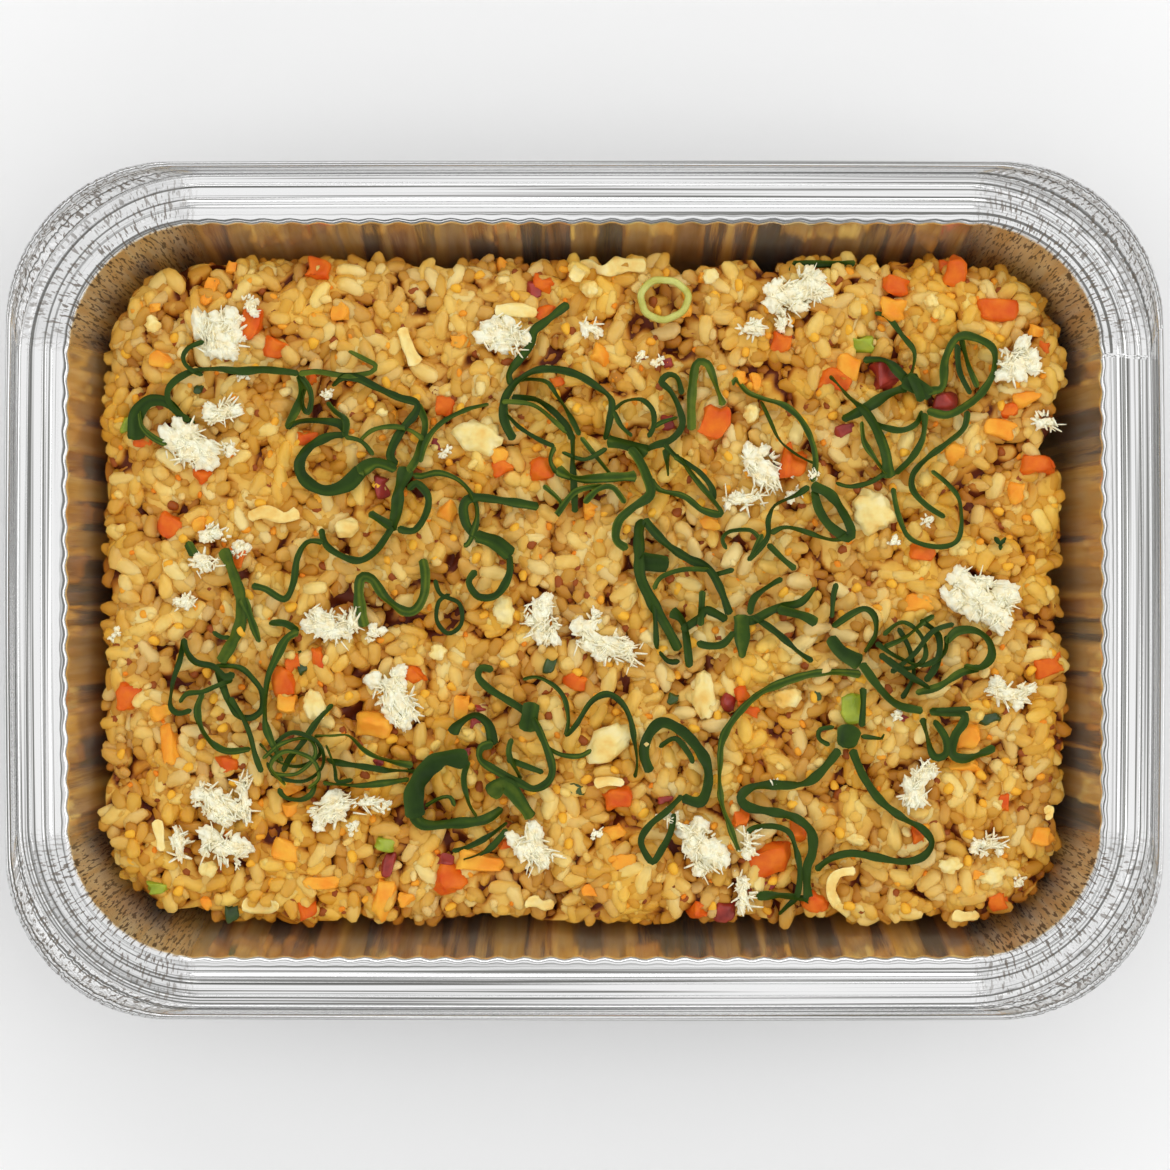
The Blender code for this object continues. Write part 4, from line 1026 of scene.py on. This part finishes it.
white_meat = food_material(
    "pulled white meat", ((0.3, (1.0, 0.88, 0.56)), (0.6, (1.0, 0.98, 0.76))), 0.55, 500,
    subsurface=0.2, bump_distance=0.25 * MM, shine=0.2, glow=(1.0, 0.95, 0.85), depth=0.8 * MM,
)  # fmt: skip
meat.data.materials.append(white_meat)
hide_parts(*(f"flake_{number:02d}" for number in range(1, 27)))
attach(meat, "root")


# A slice cut across a leek: one ring of pale green wall, a little squashed, on the rice near the back.
# Small offcuts of green leaf and stalk lie about it, stirred in with the rest.
LEEK_PLACE = Vector((21.3, 78)) * MM
LEEK_HALF = (6.3 * MM, 5.3 * MM)
LEEK_WALL = 1.0 * MM
LEEK_HIGH = 2.2 * MM
LEEK_STEPS = 56
# Out and up shares of the points round the ring's wall
LEEK_SECTION = ((-1, 0.1), (-0.7, 1), (0, 1.15), (0.7, 1), (1, 0.1), (0.7, -0.9), (-0.7, -0.9))
bm = bmesh.new()
floor_level = rice_top(*LEEK_PLACE) + 1.6 * MM
rings = []
for step in range(LEEK_STEPS):
    angle = step / LEEK_STEPS * 2 * math.pi
    wobble = 1 + 0.03 * math.sin(3 * angle + 1) + 0.02 * math.sin(7 * angle)
    out = Vector((math.cos(angle), math.sin(angle)))
    ring = []
    for share_out, share_up in LEEK_SECTION:
        x = LEEK_PLACE.x + out.x * (LEEK_HALF[0] * wobble + share_out * LEEK_WALL)
        y = LEEK_PLACE.y + out.y * (LEEK_HALF[1] * wobble + share_out * LEEK_WALL)
        ring.append(bm.verts.new((x, y, floor_level + LEEK_HIGH * (0.5 + 0.5 * share_up))))
    rings.append(ring)
for near, far in zip(rings, rings[1:] + rings[:1]):
    bridge(bm, near, far)
bmesh.ops.recalc_face_normals(bm, faces=bm.faces)
leek = linked(bm, "leek_ring")
leek_green = food_material(
    "leek", ((0.3, (0.46, 0.44, 0.05)), (0.75, (0.70, 0.72, 0.22))), 0.34, 240,
    subsurface=0.3, bump_distance=0.1 * MM,
)  # fmt: skip
leek.data.materials.append(leek_green)
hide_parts("leek_slice")
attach(leek, "root")

GREEN_BITS = (
    (74.1, 65.9, 9, 5), (71.7, -31.7, 5, 8), (-53.7, -68.2, 5.5, 3.5), (-116.1, -81, 6, 3),
    (-122.7, 44.6, 3, 4),
)  # fmt: skip
DARK_BITS = (
    (-9.2, -20.1, 3, 6), (-75.3, -19.5, 3, 6), (-95.4, -87.1, 4, 5), (108.8, -34.7, 6, 3),
    (-103.5, 54, 2.5, 2.5), (24, -29.2, 3, 3), (62.5, -28, 2, 3), (-1.9, -53.6, 5, 3),
)  # fmt: skip
light_leaf = food_material(
    "light leaf", ((0.3, (0.22, 0.32, 0.01)), (0.75, (0.48, 0.55, 0.04))), 0.35, 200,
    subsurface=0.2, bump_distance=0.1 * MM,
)  # fmt: skip
dark_leaf = food_material(
    "dark leaf", ((0.3, (0.016, 0.045, 0.004)), (0.75, (0.05, 0.10, 0.01))), 0.35, 200,
    bump_distance=0.1 * MM,
)  # fmt: skip
for name, pieces, seed, finish in (
    ("light_leaf_bits", GREEN_BITS, 7, light_leaf),
    ("dark_leaf_bits", DARK_BITS, 9, dark_leaf),
):
    piece = diced(name, pieces, 0.25, seed)
    piece.data.materials.append(finish)
    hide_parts("rice")
    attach(piece, "root")


# Spring onion leaf was cut lengthways into shreds and dropped in cold water, which curls them. They
# lie in loose clumps on top, dark green and waxy, flat where wide, with their cut ends paler.
CURLS = {
    "curl_upper_left": (
        (1.2, 4.6, -104.5, 45, -107.6, 46.4, -110.6, 49.5, -113.7, 51, -117.3, 50.4, -120.3, 46.4, -120.1,
         40.3),
        (1.2, 1.2, -119.5, 48.5, -118.6, 44, -115.5, 40.9, -111.9, 39.1),
        (1.4, 1.8, -106, 45.5, -110.6, 49.5, -111.6, 53.1, -109.4, 56.2, -104.5, 58.6, -98.5, 59.2, -92.4,
         58.6, -86.3, 59.2, -80.2, 58.6, -76.5, 58),
        (1.2, 0.9, -76.5, 58, -71.7, 58.6, -66.2, 57.7, -61.9, 57.4, -57, 58.3, -55.8, 60.1, -58.3, 61.6,
         -63.1, 64.1),
        (0.9, 0.9, -101.8, 66.6, -105.8, 65, -107.3, 62.2, -105.8, 59.5, -102, 57.5),
        (2.2, 1.8, -76.5, 58, -75.6, 54.3, -77.1, 48.8, -79.9, 43.4),
        (1.3, 1.1, -76.5, 58, -74.1, 54.9, -73.2, 51.3, -74.1, 47.6, -75.6, 49.5, -75.2, 54),
        (1.6, 1.6, -79.9, 43.4, -76.5, 45.2, -71, 45.5, -65.6, 44.6, -63.7, 42.1),
        (1.5, 1.5, -68.9, 50.4, -66.8, 47.9, -63.7, 45.2, -64, 40.9),
        (1.6, 2, -67.4, 54.6, -64.4, 57.1, -60.1, 56.5, -55.8, 54.3, -49.7, 51.6, -44.9, 50.1, -45.5, 47,
         -47.9, 44, -50.3, 40.3, -51.9, 36.1, -50.3, 33.3),
        (1.6, 1.6, -44.9, 50.1, -42.7, 45.2, -43.3, 40.3, -44.9, 35.4, -47.3, 31.8),
        (1.8, 4, -64, 41.5, -68, 41.2, -73.5, 38.5, -76.2, 34.2, -75, 30, -71, 27.2, -67.4, 26.9, -63.1,
         28.7, -59.5, 32.4),
        (3.6, 2.4, -60.5, 31.5, -55.8, 34.2, -50.3, 32.4),
        (0.9, 0.9, -64, 41, -59.5, 39.7, -56.4, 36.1),
        (1, 1, -60, 40, -56.4, 42.8, -51.6, 43.7, -46.7, 42.8, -43, 40.3),
        (3.5, 3, -47.5, 33, -49.7, 26.9, -50.3, 20.8, -51.6, 16),
        (2.2, 2.2, -57.7, 20.8, -51.6, 17),
        (1.7, 1.5, -51.6, 17, -52.8, 14.7, -55.8, 10.5, -60.1, 8, -65, 9.3, -69.2, 12.3, -70.4, 16.6),
        (1.6, 1.4, -70, 12.9, -74.1, 12.9, -76.9, 8.5, -77.9, 1.7, -80.3, -2.3, -85.4, 0.4, -89, 1.2),
        (1.5, 1.5, -47.3, 26.9, -44.9, 28.7, -41.8, 25.1, -42.4, 20.2, -45.5, 16, -50, 16.5),
        (1.2, 1.4, -46, 31, -43.9, 30.6, -39, 31.5, -33.6, 29.4, -29.9, 25.1, -28.7, 20.2, -30.5, 13.5,
         -32.3, 11.7),
        (2, 2.3, -12.2, 22.4, -19.5, 23.6, -29.3, 24.8, -32.3, 22.7, -31.7, 17.8, -29.3, 14.7),
        (3.2, 4.4, -29.3, 14.7, -23.8, 12.9, -19.5, 9.3),
        (1.8, 1.6, -20, 9.5, -20.1, 4.2, -23.5, -1.2, -28.3, -1.7, -30.9, 2.2, -28.9, 5.3),
        (1, 1, -43.9, 34.2, -42.1, 40.3, -37.8, 45.2, -31.7, 48.2, -25.6, 49.8),
    ),
    "curl_left": (
        (2.6, 3, -96.8, 11.2, -94.1, 5.1, -92.1, -1.7, -92.1, -8.5, -94.8, -14.6, -97.5, -19.3),
        (2.2, 1.4, -91.6, -2, -90.2, -5, -88.7, -9.1, -87, -13.9),
        (0.8, 0.8, -99.7, -11, -97.2, -12.5, -94.8, -12.5),
        (1.2, 1.2, -107.3, -12.8, -108.2, -18.3, -110, -24.4, -110.9, -30.5, -108.8, -32.9, -105.2, -32),
        (1.5, 1.5, -107.3, -12.8, -106.4, -16.4, -103.9, -19.2, -99.1, -20.4, -96, -23.1, -93.6, -22.2),
        (1.4, 1.4, -99.1, -20.1, -92.4, -20.7, -88.7, -23.8, -86.3, -27.4, -86.3, -31.7, -89.3, -34.1, -93,
         -33.2, -95.4, -29.2, -97.2, -24.4, -98.5, -21.3),
        (1, 1, -108.5, -30.1, -106.4, -27.7, -102.1, -27.1, -98.5, -25.6, -94.2, -23.8),
        (1.6, 1.6, -102.1, -27.4, -103.6, -31.7, -102.7, -36.5, -99.7, -40.8, -95.4, -42.9, -89.3, -42.3),
        (1.2, 1.2, -94.8, -28.6, -91.2, -34.1, -89.3, -39, -88.1, -43.8, -86.3, -48.7),
        (2, 1.4, -76.5, -11, -79.6, -12.8, -82, -17.1, -84.5, -23.1, -85.4, -30.5, -85.1, -36.5, -83.2,
         -41.4, -80.8, -45.7),
        (1.6, 1.6, -84.5, -8.8, -80.2, -8.8, -76.5, -11),
        (1.3, 1.5, -67.4, -30.5, -71.7, -35.3, -75.9, -41.4, -79, -45.1, -80.8, -48.7),
        (0.8, 0.8, -84, -42, -78, -38, -71, -41, -70, -47, -75, -51, -82, -50, -85, -46),
        (0.8, 0.8, -86, -45, -81, -41, -74, -39.5, -72, -44, -77, -49, -84, -49),
        (0.8, 0.8, -80, -52, -84, -47, -80, -43, -73, -45, -71, -50, -74, -53),
        (0.8, 0.8, -87, -41, -82, -46, -76, -47, -71, -44, -72, -40, -77, -38),
        (1.2, 1.2, -82, -53, -80.2, -55.4, -75.9, -56, -72.9, -54.2, -72.3, -51.2),
    ),
    "curl_lower_left": (
        (1.3, 1.6, -72.3, -39, -68, -39, -63.1, -39, -58.9, -42.6, -54, -45.1, -46, -46.9),
        (1.3, 1.5, -69, -45, -68, -45.7, -60.1, -46.9, -52.2, -48.1, -45, -48.5),
        (1.7, 1.7, -70, -51.4, -65, -52.1, -57, -51.8, -47, -50.5),
        (1, 1, -69.2, -41.4, -66.8, -47.5, -66, -51, -61.9, -50.5),
        (4.6, 5.2, -31.1, -45.1, -37.8, -44.8, -42.7, -48.7, -45.6, -54.8, -45.1, -60.9),
        (3.2, 2.4, -46.3, -58.5, -43.3, -62.5, -34.8, -62.3, -26.9, -61.5, -22, -58.5),
        (1.3, 1.2, -31.1, -45.5, -32.3, -50.5, -31.1, -56.6, -28.7, -60.9),
        (1.3, 1, -20.8, -62.1, -25.6, -65.8, -31.7, -68.8, -35.4, -69.7),
        (1.5, 1.2, -20.8, -63.9, -24.4, -68.2, -28.7, -71, -32.3, -72.2),
        (4.6, 3, -25.6, -54.8, -21.4, -51.8, -17.1, -56.6, -14.1, -60.9),
        (0.9, 0.9, -42.7, -57.9, -39, -55.7, -36, -55.4, -34.8, -57.9),
        (1.5, 1.7, -24.4, -21.3, -27.5, -20.7, -28.4, -23.1, -25.6, -26.2, -20.8, -29.2, -15.9, -32.3,
         -14.1, -34.1),
        (4.4, 4.6, -14.1, -29.8, -15.3, -37.8),
        (3, 2.6, -35.4, -38.4, -33.6, -35.6, -29.3, -33.2, -25.6, -35.9, -24.4, -41.4),
        (1.8, 1.8, -24.4, -41, -27.5, -42, -27.8, -45.1, -23.8, -48.1, -17.7, -51.2, -13.5, -53, -9.8,
         -51.2, -8.6, -47.5, -10.4, -41.4, -13.5, -34.1),
        (1.5, 1.5, -19.5, -39.6, -20.2, -43.8, -17, -50.5),
        (1.2, 1.2, -20.8, -45.1, -15.9, -46.9, -11, -48.7),
        (1.2, 1, -11, -41.4, -6.2, -43.8, -1.3, -44.2, 1.8, -42.6),
        (0.9, 0.9, -16.5, -23.8, -12.9, -23.1, -8.6, -25, -5.5, -28.6, -4.3, -34.1, -4.9, -39),
        (1.3, 1.3, -4.9, -39, -1.9, -35.3, 1.8, -29.8, 6, -27.7, 9.7, -29.8, 12.1, -34.1, 13.3, -39.6, 13.9,
         -46.3, 13.4, -50),
    ),
    "curl_lower_middle": (
        (2.7, 2.4, 17.6, -48.7, 15.8, -43.8, 17, -39, 20.6, -35.3, 25.5, -37.2, 29.8, -41.4, 32.6, -46.3,
         33, -51.8, 31, -56.6, 26.1, -55.4),
        (1.2, 1.2, 20, -42, 24.3, -39.6, 28, -43.8, 29, -46.3),
        (1.5, 1.5, 26.1, -54.8, 21.9, -59.1, 17.6, -62.7, 15.2, -66.4, 15.8, -69.4, 18.2, -72.5, 20.6,
         -69.4, 23.1, -64.6, 24, -59.7),
    ),
    "curl_upper_middle": (
        (2, 1.8, -4.3, 76.9, -10.4, 72, -13.5, 69.5, -14.1, 65.9, -17.1, 62.2, -20.2, 58, -19.5, 54.9),
        (2.2, 1.4, -18.9, 40.3, -21.4, 45.2, -21.4, 50.7, -18.3, 55.5, -13.5, 58.6, -8, 59.2, -1.9, 57.7,
         3.6, 54.3, 7.2, 50.7, 6.6, 45.2, 5.4, 40.3),
        (2, 1.6, -19.5, 51.3, -13.5, 51.3, -8.6, 48.2, -4.9, 44, -3.1, 40.3),
        (1, 1, -22, 50.3, -19.5, 50.4, -13.5, 49.5, -8.6, 45.8, -4.9, 42.1),
        (0.9, 0.9, -20.8, 47, -17.1, 43.4, -12.2, 40.3, -8, 38.5),
        (1, 1, -18.9, 56.2, -13.5, 56.5, -9.8, 55.5, -6.8, 51.3, -3.7, 46.4, -1.3, 41.5),
        (1, 1, 7.9, 48.2, 10.9, 50.7, 15.2, 51, 18.2, 48.2, 18.5, 44, 17, 40.9),
        (1, 1, 7.9, 48, 9.7, 44, 12.7, 41.2),
        (4, 4.6, 6, 40, 10.9, 39.1, 17, 37),
        (2.7, 2.7, -7.4, 32.4, -2.5, 30, 4.8, 30, 13.9, 30.6),
        (1.2, 1.2, -8, 38.5, -9.2, 34.8, -7.4, 31.2),
        (1.5, 1.5, -3.1, 41.5, -3.1, 33, -2.5, 20.8),
        (1.2, 1.2, -11, 28.1, -6.2, 23.3, -7.4, 20.2, -2.5, 26.3, 4.8, 28.1),
        (1.2, 1.2, -0.1, 23.3, 3.6, 26.9, 7.5, 27.5, 10.9, 23.3),
        (2.3, 2, 12, 38, 13.9, 36, 16.4, 31.2, 17.6, 25.7, 12.7, 22, 9.1, 18.4, 8.5, 13.5, 11.5, 11.1),
        (2.3, 2, 28.6, 42.8, 28.6, 51.3, 29.8, 60.4, 32.8, 60.7, 34.7, 56.2, 37.1, 49.5),
        (1.5, 1.5, 26.1, 52.5, 24.9, 56.8, 22.5, 57.7, 20.6, 55.8, 23.1, 53.1, 25.5, 48.2, 26.1, 44, 23.1,
         40.3, 18.2, 38.5, 14.6, 36.7),
        (0.9, 0.9, 18.5, 43.5, 20, 44.6, 24.9, 46.4),
        (1.2, 1.2, 21.3, 39.1, 24.9, 35.4, 30.4, 31.8, 34, 27.5, 34.5, 24),
        (1.5, 1.3, 24, 36, 26.1, 34.2, 31, 28.1, 36.5, 20.8, 31.6, 21.4, 26.7, 25.1, 20, 26.9, 17.6, 30),
        (2, 1.6, 21.9, 38, 22.2, 30.6),
        (0.9, 0.9, -1, 41, 3, 36, 7, 31),
        (0.9, 0.9, -6, 37, 0, 35, 6, 38),
    ),
    "curl_right_of_middle": (
        (1.3, 1.3, 39.8, 54.9, 40.5, 56.6, 43.6, 53.1, 47.9, 51.3, 53.4, 49.5, 57.7, 45.8, 60.7, 40.3, 61.9,
         34.2, 61, 29),
        (1.2, 1.2, 47.3, 50.7, 49.7, 45.2, 52.2, 40.3, 56.4, 36.7, 61.3, 34.2),
        (2.4, 2, 60.7, 28.1, 65.6, 25.7, 69.2, 20.8, 71.3, 16, 70.4, 14.1, 65.6, 17.2, 62.5, 22, 61.3,
         26.9),
        (1.4, 1.2, 60.1, 27.8, 55.8, 25.1, 51, 22.7, 49.1, 19, 49.1, 14.7, 46.7, 11.1, 43.6, 8),
        (1.2, 1.2, 49.7, 15.3, 54, 16.9, 60.1, 15.3, 66.2, 13.5, 71, 14.7),
        (1.1, 0.9, 47.6, 15.1, 44.2, 8.4),
        (0.9, 0.9, 38, 11, 36.8, 13.7, 38.8, 15.8, 44.2, 16.1, 46.9, 13.7),
        (1.5, 1.3, 49, 12.4, 53, 8.4, 56.5, 5.6),
    ),
    "curl_middle": (
        (3, 2.4, 15.8, 19, 14.7, 16.4, 14.7, 9.7, 15, 3.6, 17.8, -2.5, 22.4, -10.6, 25.2, -16.1),
        (5.4, 4.6, 14.6, 8, 22.6, 7),
        (2.2, 1.8, 15.8, 19, 21.9, 12.4, 28, 8.4, 32.7, 6.3, 36.1, 0.9, 38.8, -6.5),
        (1, 1, 18.5, 0.2, 20.5, 3.6, 26.6, 5.6, 33.3, 5.6),
        (2, 2, 25.9, -10.6, 30.7, -7.3, 32.7, -5.2, 38.1, -7.8),
        (5.6, 1.4, 42, -6.4, 42.1, -18.1),
        (2.5, 1.4, 43, -8, 45.5, -7.8, 51.6, -4.6, 57.7, -3.2, 61.7, 0.9),
        (1.5, 1.5, 53, 3, 51, 2.3, 45.5, -1.8, 44.2, -6.5),
        (1.5, 1.3, 45, -7, 51, -11, 57.1, -16.4, 61, -19),
        (2.5, 2.2, 51.6, -5, 58.3, -6.7, 62, -8.8),
        (1.2, 1.2, 18.5, -2, 19.4, -15.8),
        (1.2, 1.2, 20, -16.4, 22.5, -18.9, 25.5, -18.9),
        (3, 2, 23.1, -5.5, 26.7, -9.1, 28, -20.7),
        (1.6, 1.6, 30, -14, 33, -14.8, 37, -14.3, 40, -11),
        (1.4, 1.4, 31.5, 0, 31, -9.5),
        (1.1, 1.1, 40, 5.6, 34.7, 4.2),
    ),
    "curl_right": (
        (2, 1.3, 74.1, -22.5, 67.4, -21.9, 60.1, -22.5, 52.2, -25, 46.1, -28, 40.1, -34.1, 36.8, -40.2,
         36.2, -47.5, 36.5, -56, 38.9, -63.3, 41.4, -70),
        (2.4, 4.6, 65.5, -12.4, 68.6, -16.4, 74.1, -19.5),
        (1.5, 1.5, 66.2, -9.7, 71.7, -6.1, 75.3, -4.9, 77.8, -7.3, 77.8, -12.2, 75, -16.5),
        (1.2, 1.2, 66, -7.3, 66.4, -1.8, 67.4, 2),
        (1.8, 1.8, 96.6, -14, 99.7, -11, 104.6, -10.7, 108.2, -13.4, 108.8, -17.7, 105.8, -20.7, 101.5,
         -20.1),
        (1.8, 1.6, 105.8, -20.7, 100.9, -21.9, 94.8, -25.6, 88.7, -27.4),
        (1.5, 1.5, 89.9, -7.9, 94.8, -12.2, 94.2, -19.5, 91.2, -24.4),
        (1.3, 1.3, 80.2, -15.2, 86.3, -12.2, 90.5, -8.5, 93.6, -6.7),
        (2.2, 2, 74.1, -19.5, 79, -26.2, 83.8, -30.5, 90.5, -32.3),
        (1.5, 1.5, 79, -17.1, 86.3, -22.5, 92.4, -26.2),
        (2.2, 2, 92.4, -32.3, 100.9, -32.9, 101.5, -35.3, 99.1, -39, 98.5, -43.8, 102.1, -45.1, 107, -43.5,
         110, -42),
        (1.8, 1.6, 90.5, -34.1, 91.8, -39.6, 93.6, -44.5, 96.6, -43.8, 96.6, -39.6, 93.6, -34.7),
        (0.8, 0.8, 94, -32, 101, -31.7, 103.6, -31.7),
        (1.1, 1.1, 78, -14, 84, -18, 90, -20, 96, -17, 97, -12),
        (1, 1, 82, -22, 88, -17, 93, -11, 99, -9),
        (1, 1, 84, -10, 87, -16, 88, -23, 85, -29),
        (0.9, 0.9, 80, -12, 85, -8.5, 90, -12, 91, -18, 86, -21, 81, -18),
    ),
    "curl_lower_right": (
        (6, 5.4, 71.1, -35.9, 69.8, -42.2),
        (2.2, 2.2, 68.2, -42.5, 62.5, -49.3, 57.7, -51.8, 49.1, -52.1, 44.3, -53, 41.8, -55.4, 43.7, -57.9,
         49.7, -59.1, 56.4, -60.9, 60.7, -64.6, 61, -70, 59.5, -74.9, 60.1, -84),
        (1.9, 1.7, 71.6, -42.5, 74.7, -49.9, 79, -56, 85.1, -60.9, 90.5, -63.9, 93, -67.6, 90.5, -71.3,
         85.1, -72.5, 77.8, -71.3, 71, -70.3, 65.6, -71.9, 61.9, -74.9),
        (1, 1, 66.8, -36.5, 63.1, -37.2, 62.8, -39.6, 65.6, -41.4),
        (1.5, 1.5, 74.4, -26, 74.4, -29.2, 74.1, -36.5),
        (0.8, 0.8, 74, -39, 79.6, -39.6, 80.2, -38.4),
        (1.3, 1.3, 43.5, -64.8, 45.5, -63.3, 50.4, -63, 54.6, -64.6, 56.4, -68.8, 57.7, -74.9, 57.1, -81.6,
         54.6, -84.7, 52.2, -87.1),
        (2, 2, 46.1, -82.2, 52.2, -81.9, 60.1, -82.8),
    ),
    "curl_upper_right": (
        (1, 1, 77.8, 74.4, 81.4, 73.2, 85.1, 68.3, 88.1, 64.1, 88.1, 59.8, 87, 57),
        (2.2, 2.2, 74.7, 61.6, 80.2, 61.6, 84.5, 58, 86.9, 55.5),
        (2.5, 2.8, 68.9, 45.8, 72.9, 47.6, 76.5, 49.5, 81.4, 52.5, 86.3, 54.3),
        (1.5, 3, 65.6, 57.4, 70.4, 51.9, 74.7, 48.2, 77.8, 43.4, 80.2, 37.3, 81.4, 30),
        (1.2, 1.2, 74.1, 45.2, 74.7, 39.7, 77.8, 34.8, 80.8, 31.2),
        (1.2, 1.2, 76.5, 45.5, 79, 44, 84.5, 42.8, 88.7, 44.6, 90.5, 48.2),
        (1.5, 1.5, 91.2, 47.6, 90.5, 40.9, 87.5, 35.4, 83.2, 31.2),
        (1.8, 1.8, 90, 53.5, 93.5, 53.6, 96, 54.9, 96.6, 62.2, 99.7, 67.7, 104.6, 67.7, 109.4, 64.7, 109.4,
         58.6, 106.4, 53.1, 102.1, 49.5, 97.2, 47, 91.8, 48.2),
        (1.2, 1.2, 100.9, 67.7, 102.7, 60.4, 105.2, 54.3),
        (1.2, 1.2, 99.7, 65.9, 100.3, 58.6, 103.3, 52.5),
        (1.4, 1.2, 102.7, 48.2, 101.5, 43.4, 96.6, 39.1, 91.8, 35.4, 88.1, 31.2, 88.1, 26.9, 91.8, 22.7,
         96.6, 19.6),
        (1, 1, 82.6, 27.5, 83.9, 20.8, 86.3, 14.7, 90.5, 12.3, 96, 11.7, 99.7, 13.5, 100.9, 18.4, 100.3,
         24.5, 97.2, 28.7, 93, 32.1),
        (1, 1, 80.8, 31.8, 76.5, 29, 71, 27.8, 67.2, 28.8),
        (4.2, 3, 85.4, 56.8, 93, 52.2),
        (3, 2.2, 87.4, 58, 90.4, 50.6),
    ),
    "curl_squiggle": (
        (2.6, 2.2, -58.9, -9.8, -60.2, -3, -59.9, 3.1, -56.8, 3.1, -53.4, -1.7, -48.7, -5.4, -45.3, -5.1,
         -43, -1, -42.6, 4.4, -43.3, 8.5),
    ),
}  # fmt: skip
STRAYS = (
    (0.8, 0.8, -40, 3, -38.5, -1, -33.5, -3.5, -33, -9, -36.5, -11.5, -39.5, -8, -39, -3, -36, -1),
    (1.8, 1.6, 56.4, 88.4, 64.5, 89.9, 72.9, 88),
    (2, 2.4, -106.3, 13.1, -104.2, 9.2),
    (0.9, 0.9, 109.8, 14.3, 111.3, 12.6, 112.8, 14.2),
    (0.9, 0.9, 111.3, 12.6, 111.3, 10.8),
)  # fmt: skip
onion_leaf = food_material(
    "spring onion leaf",
    ((0.1, (0.012, 0.034, 0.003)), (1.0, (0.22, 0.27, 0.02)), (0.5, (0.034, 0.074, 0.005))),
    0.42, 330, bump_distance=0.15 * MM, attribute="tint", spread=0.7, shine=0.15,
)  # fmt: skip
CUT_EDGE = math.radians(50)
rule = random.Random(77)
for name, shreds in CURLS.items():
    bm = bmesh.new()
    for number, shape in enumerate(shreds):
        lay_strip(bm, shape, rule, (2.2 + 0.35 * (number % 5)) * MM, 0.35 * MM, 0.12, 2.2, 0.3, 0.7 * MM)
    bmesh.ops.recalc_face_normals(bm, faces=bm.faces)
    clump = linked(bm, name.replace("curl", "shreds"))
    clump.data.set_sharp_from_angle(angle=CUT_EDGE)
    clump.data.materials.append(onion_leaf)
    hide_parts(name)
    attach(clump, "root")
bm = bmesh.new()
for shape in STRAYS:
    lay_strip(bm, shape, rule, 2.2 * MM, 0.35 * MM, 0.16, 0.9, 0.22, 0.3 * MM)
bmesh.ops.recalc_face_normals(bm, faces=bm.faces)
strays = linked(bm, "stray_shreds")
strays.data.materials.append(onion_leaf)
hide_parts("rice")
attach(strays, "root")


# A plain pale table, a wide dim light overhead, a soft light on each of the four sides and a dim room
bpy.ops.mesh.primitive_plane_add(size=6)
floor = bpy.context.object
floor.name = "floor"
floor.location.z = -0.2 * MM
table = bpy.data.materials.new("pale table")
table.use_nodes = True
table.node_tree.nodes["Principled BSDF"].inputs["Base Color"].default_value = (1, 1, 1, 1)
table.node_tree.nodes["Principled BSDF"].inputs["Roughness"].default_value = 0.7
floor.data.materials.append(table)


def softbox(name, place, size, watts, aim=(0, 0, 0.03)):
    lamp = bpy.data.lights.new(name, "AREA")
    lamp.shape = "RECTANGLE"
    lamp.size, lamp.size_y = size
    lamp.energy = watts
    made = bpy.data.objects.new(name, lamp)
    made.location = place
    made.rotation_euler = (Vector(place) - Vector(aim)).to_track_quat("Z", "Y").to_euler()
    bpy.context.scene.collection.objects.link(made)


SIDE_LIGHT = 1.35
SIDE_LIGHT_HIGH = 1.1
softbox("overhead light", (0.0, 0.0, 1.5), (1.3, 1.1), 3.0)
softbox("right light", (SIDE_LIGHT, 0, SIDE_LIGHT_HIGH), (1.8, 1.0), 9)
softbox("left light", (-SIDE_LIGHT, 0, SIDE_LIGHT_HIGH), (1.8, 1.0), 6)
softbox("back light", (0, SIDE_LIGHT, SIDE_LIGHT_HIGH), (2.0, 0.7), 8)
softbox("front light", (0, -SIDE_LIGHT, SIDE_LIGHT_HIGH), (2.0, 0.7), 5)
world = bpy.data.worlds.new("dim room")
world.use_nodes = True
world.node_tree.nodes["Background"].inputs["Color"].default_value = (0.5, 0.5, 0.5, 1)
world.node_tree.nodes["Background"].inputs["Strength"].default_value = 0.76
bpy.context.scene.world = world
bpy.context.scene.view_settings.view_transform = "Standard"

lens = bpy.data.cameras.new("camera")
lens.sensor_width = 36
lens.lens = 110
camera = bpy.data.objects.new("camera", lens)
CAMERA_ABOVE_RIM = 0.95
camera.location = (0.13 * MM, 1.46 * MM, RIM_LEVEL + CAMERA_ABOVE_RIM)
camera.rotation_euler = Euler((0, 0, 0))
bpy.context.scene.collection.objects.link(camera)
bpy.context.scene.camera = camera
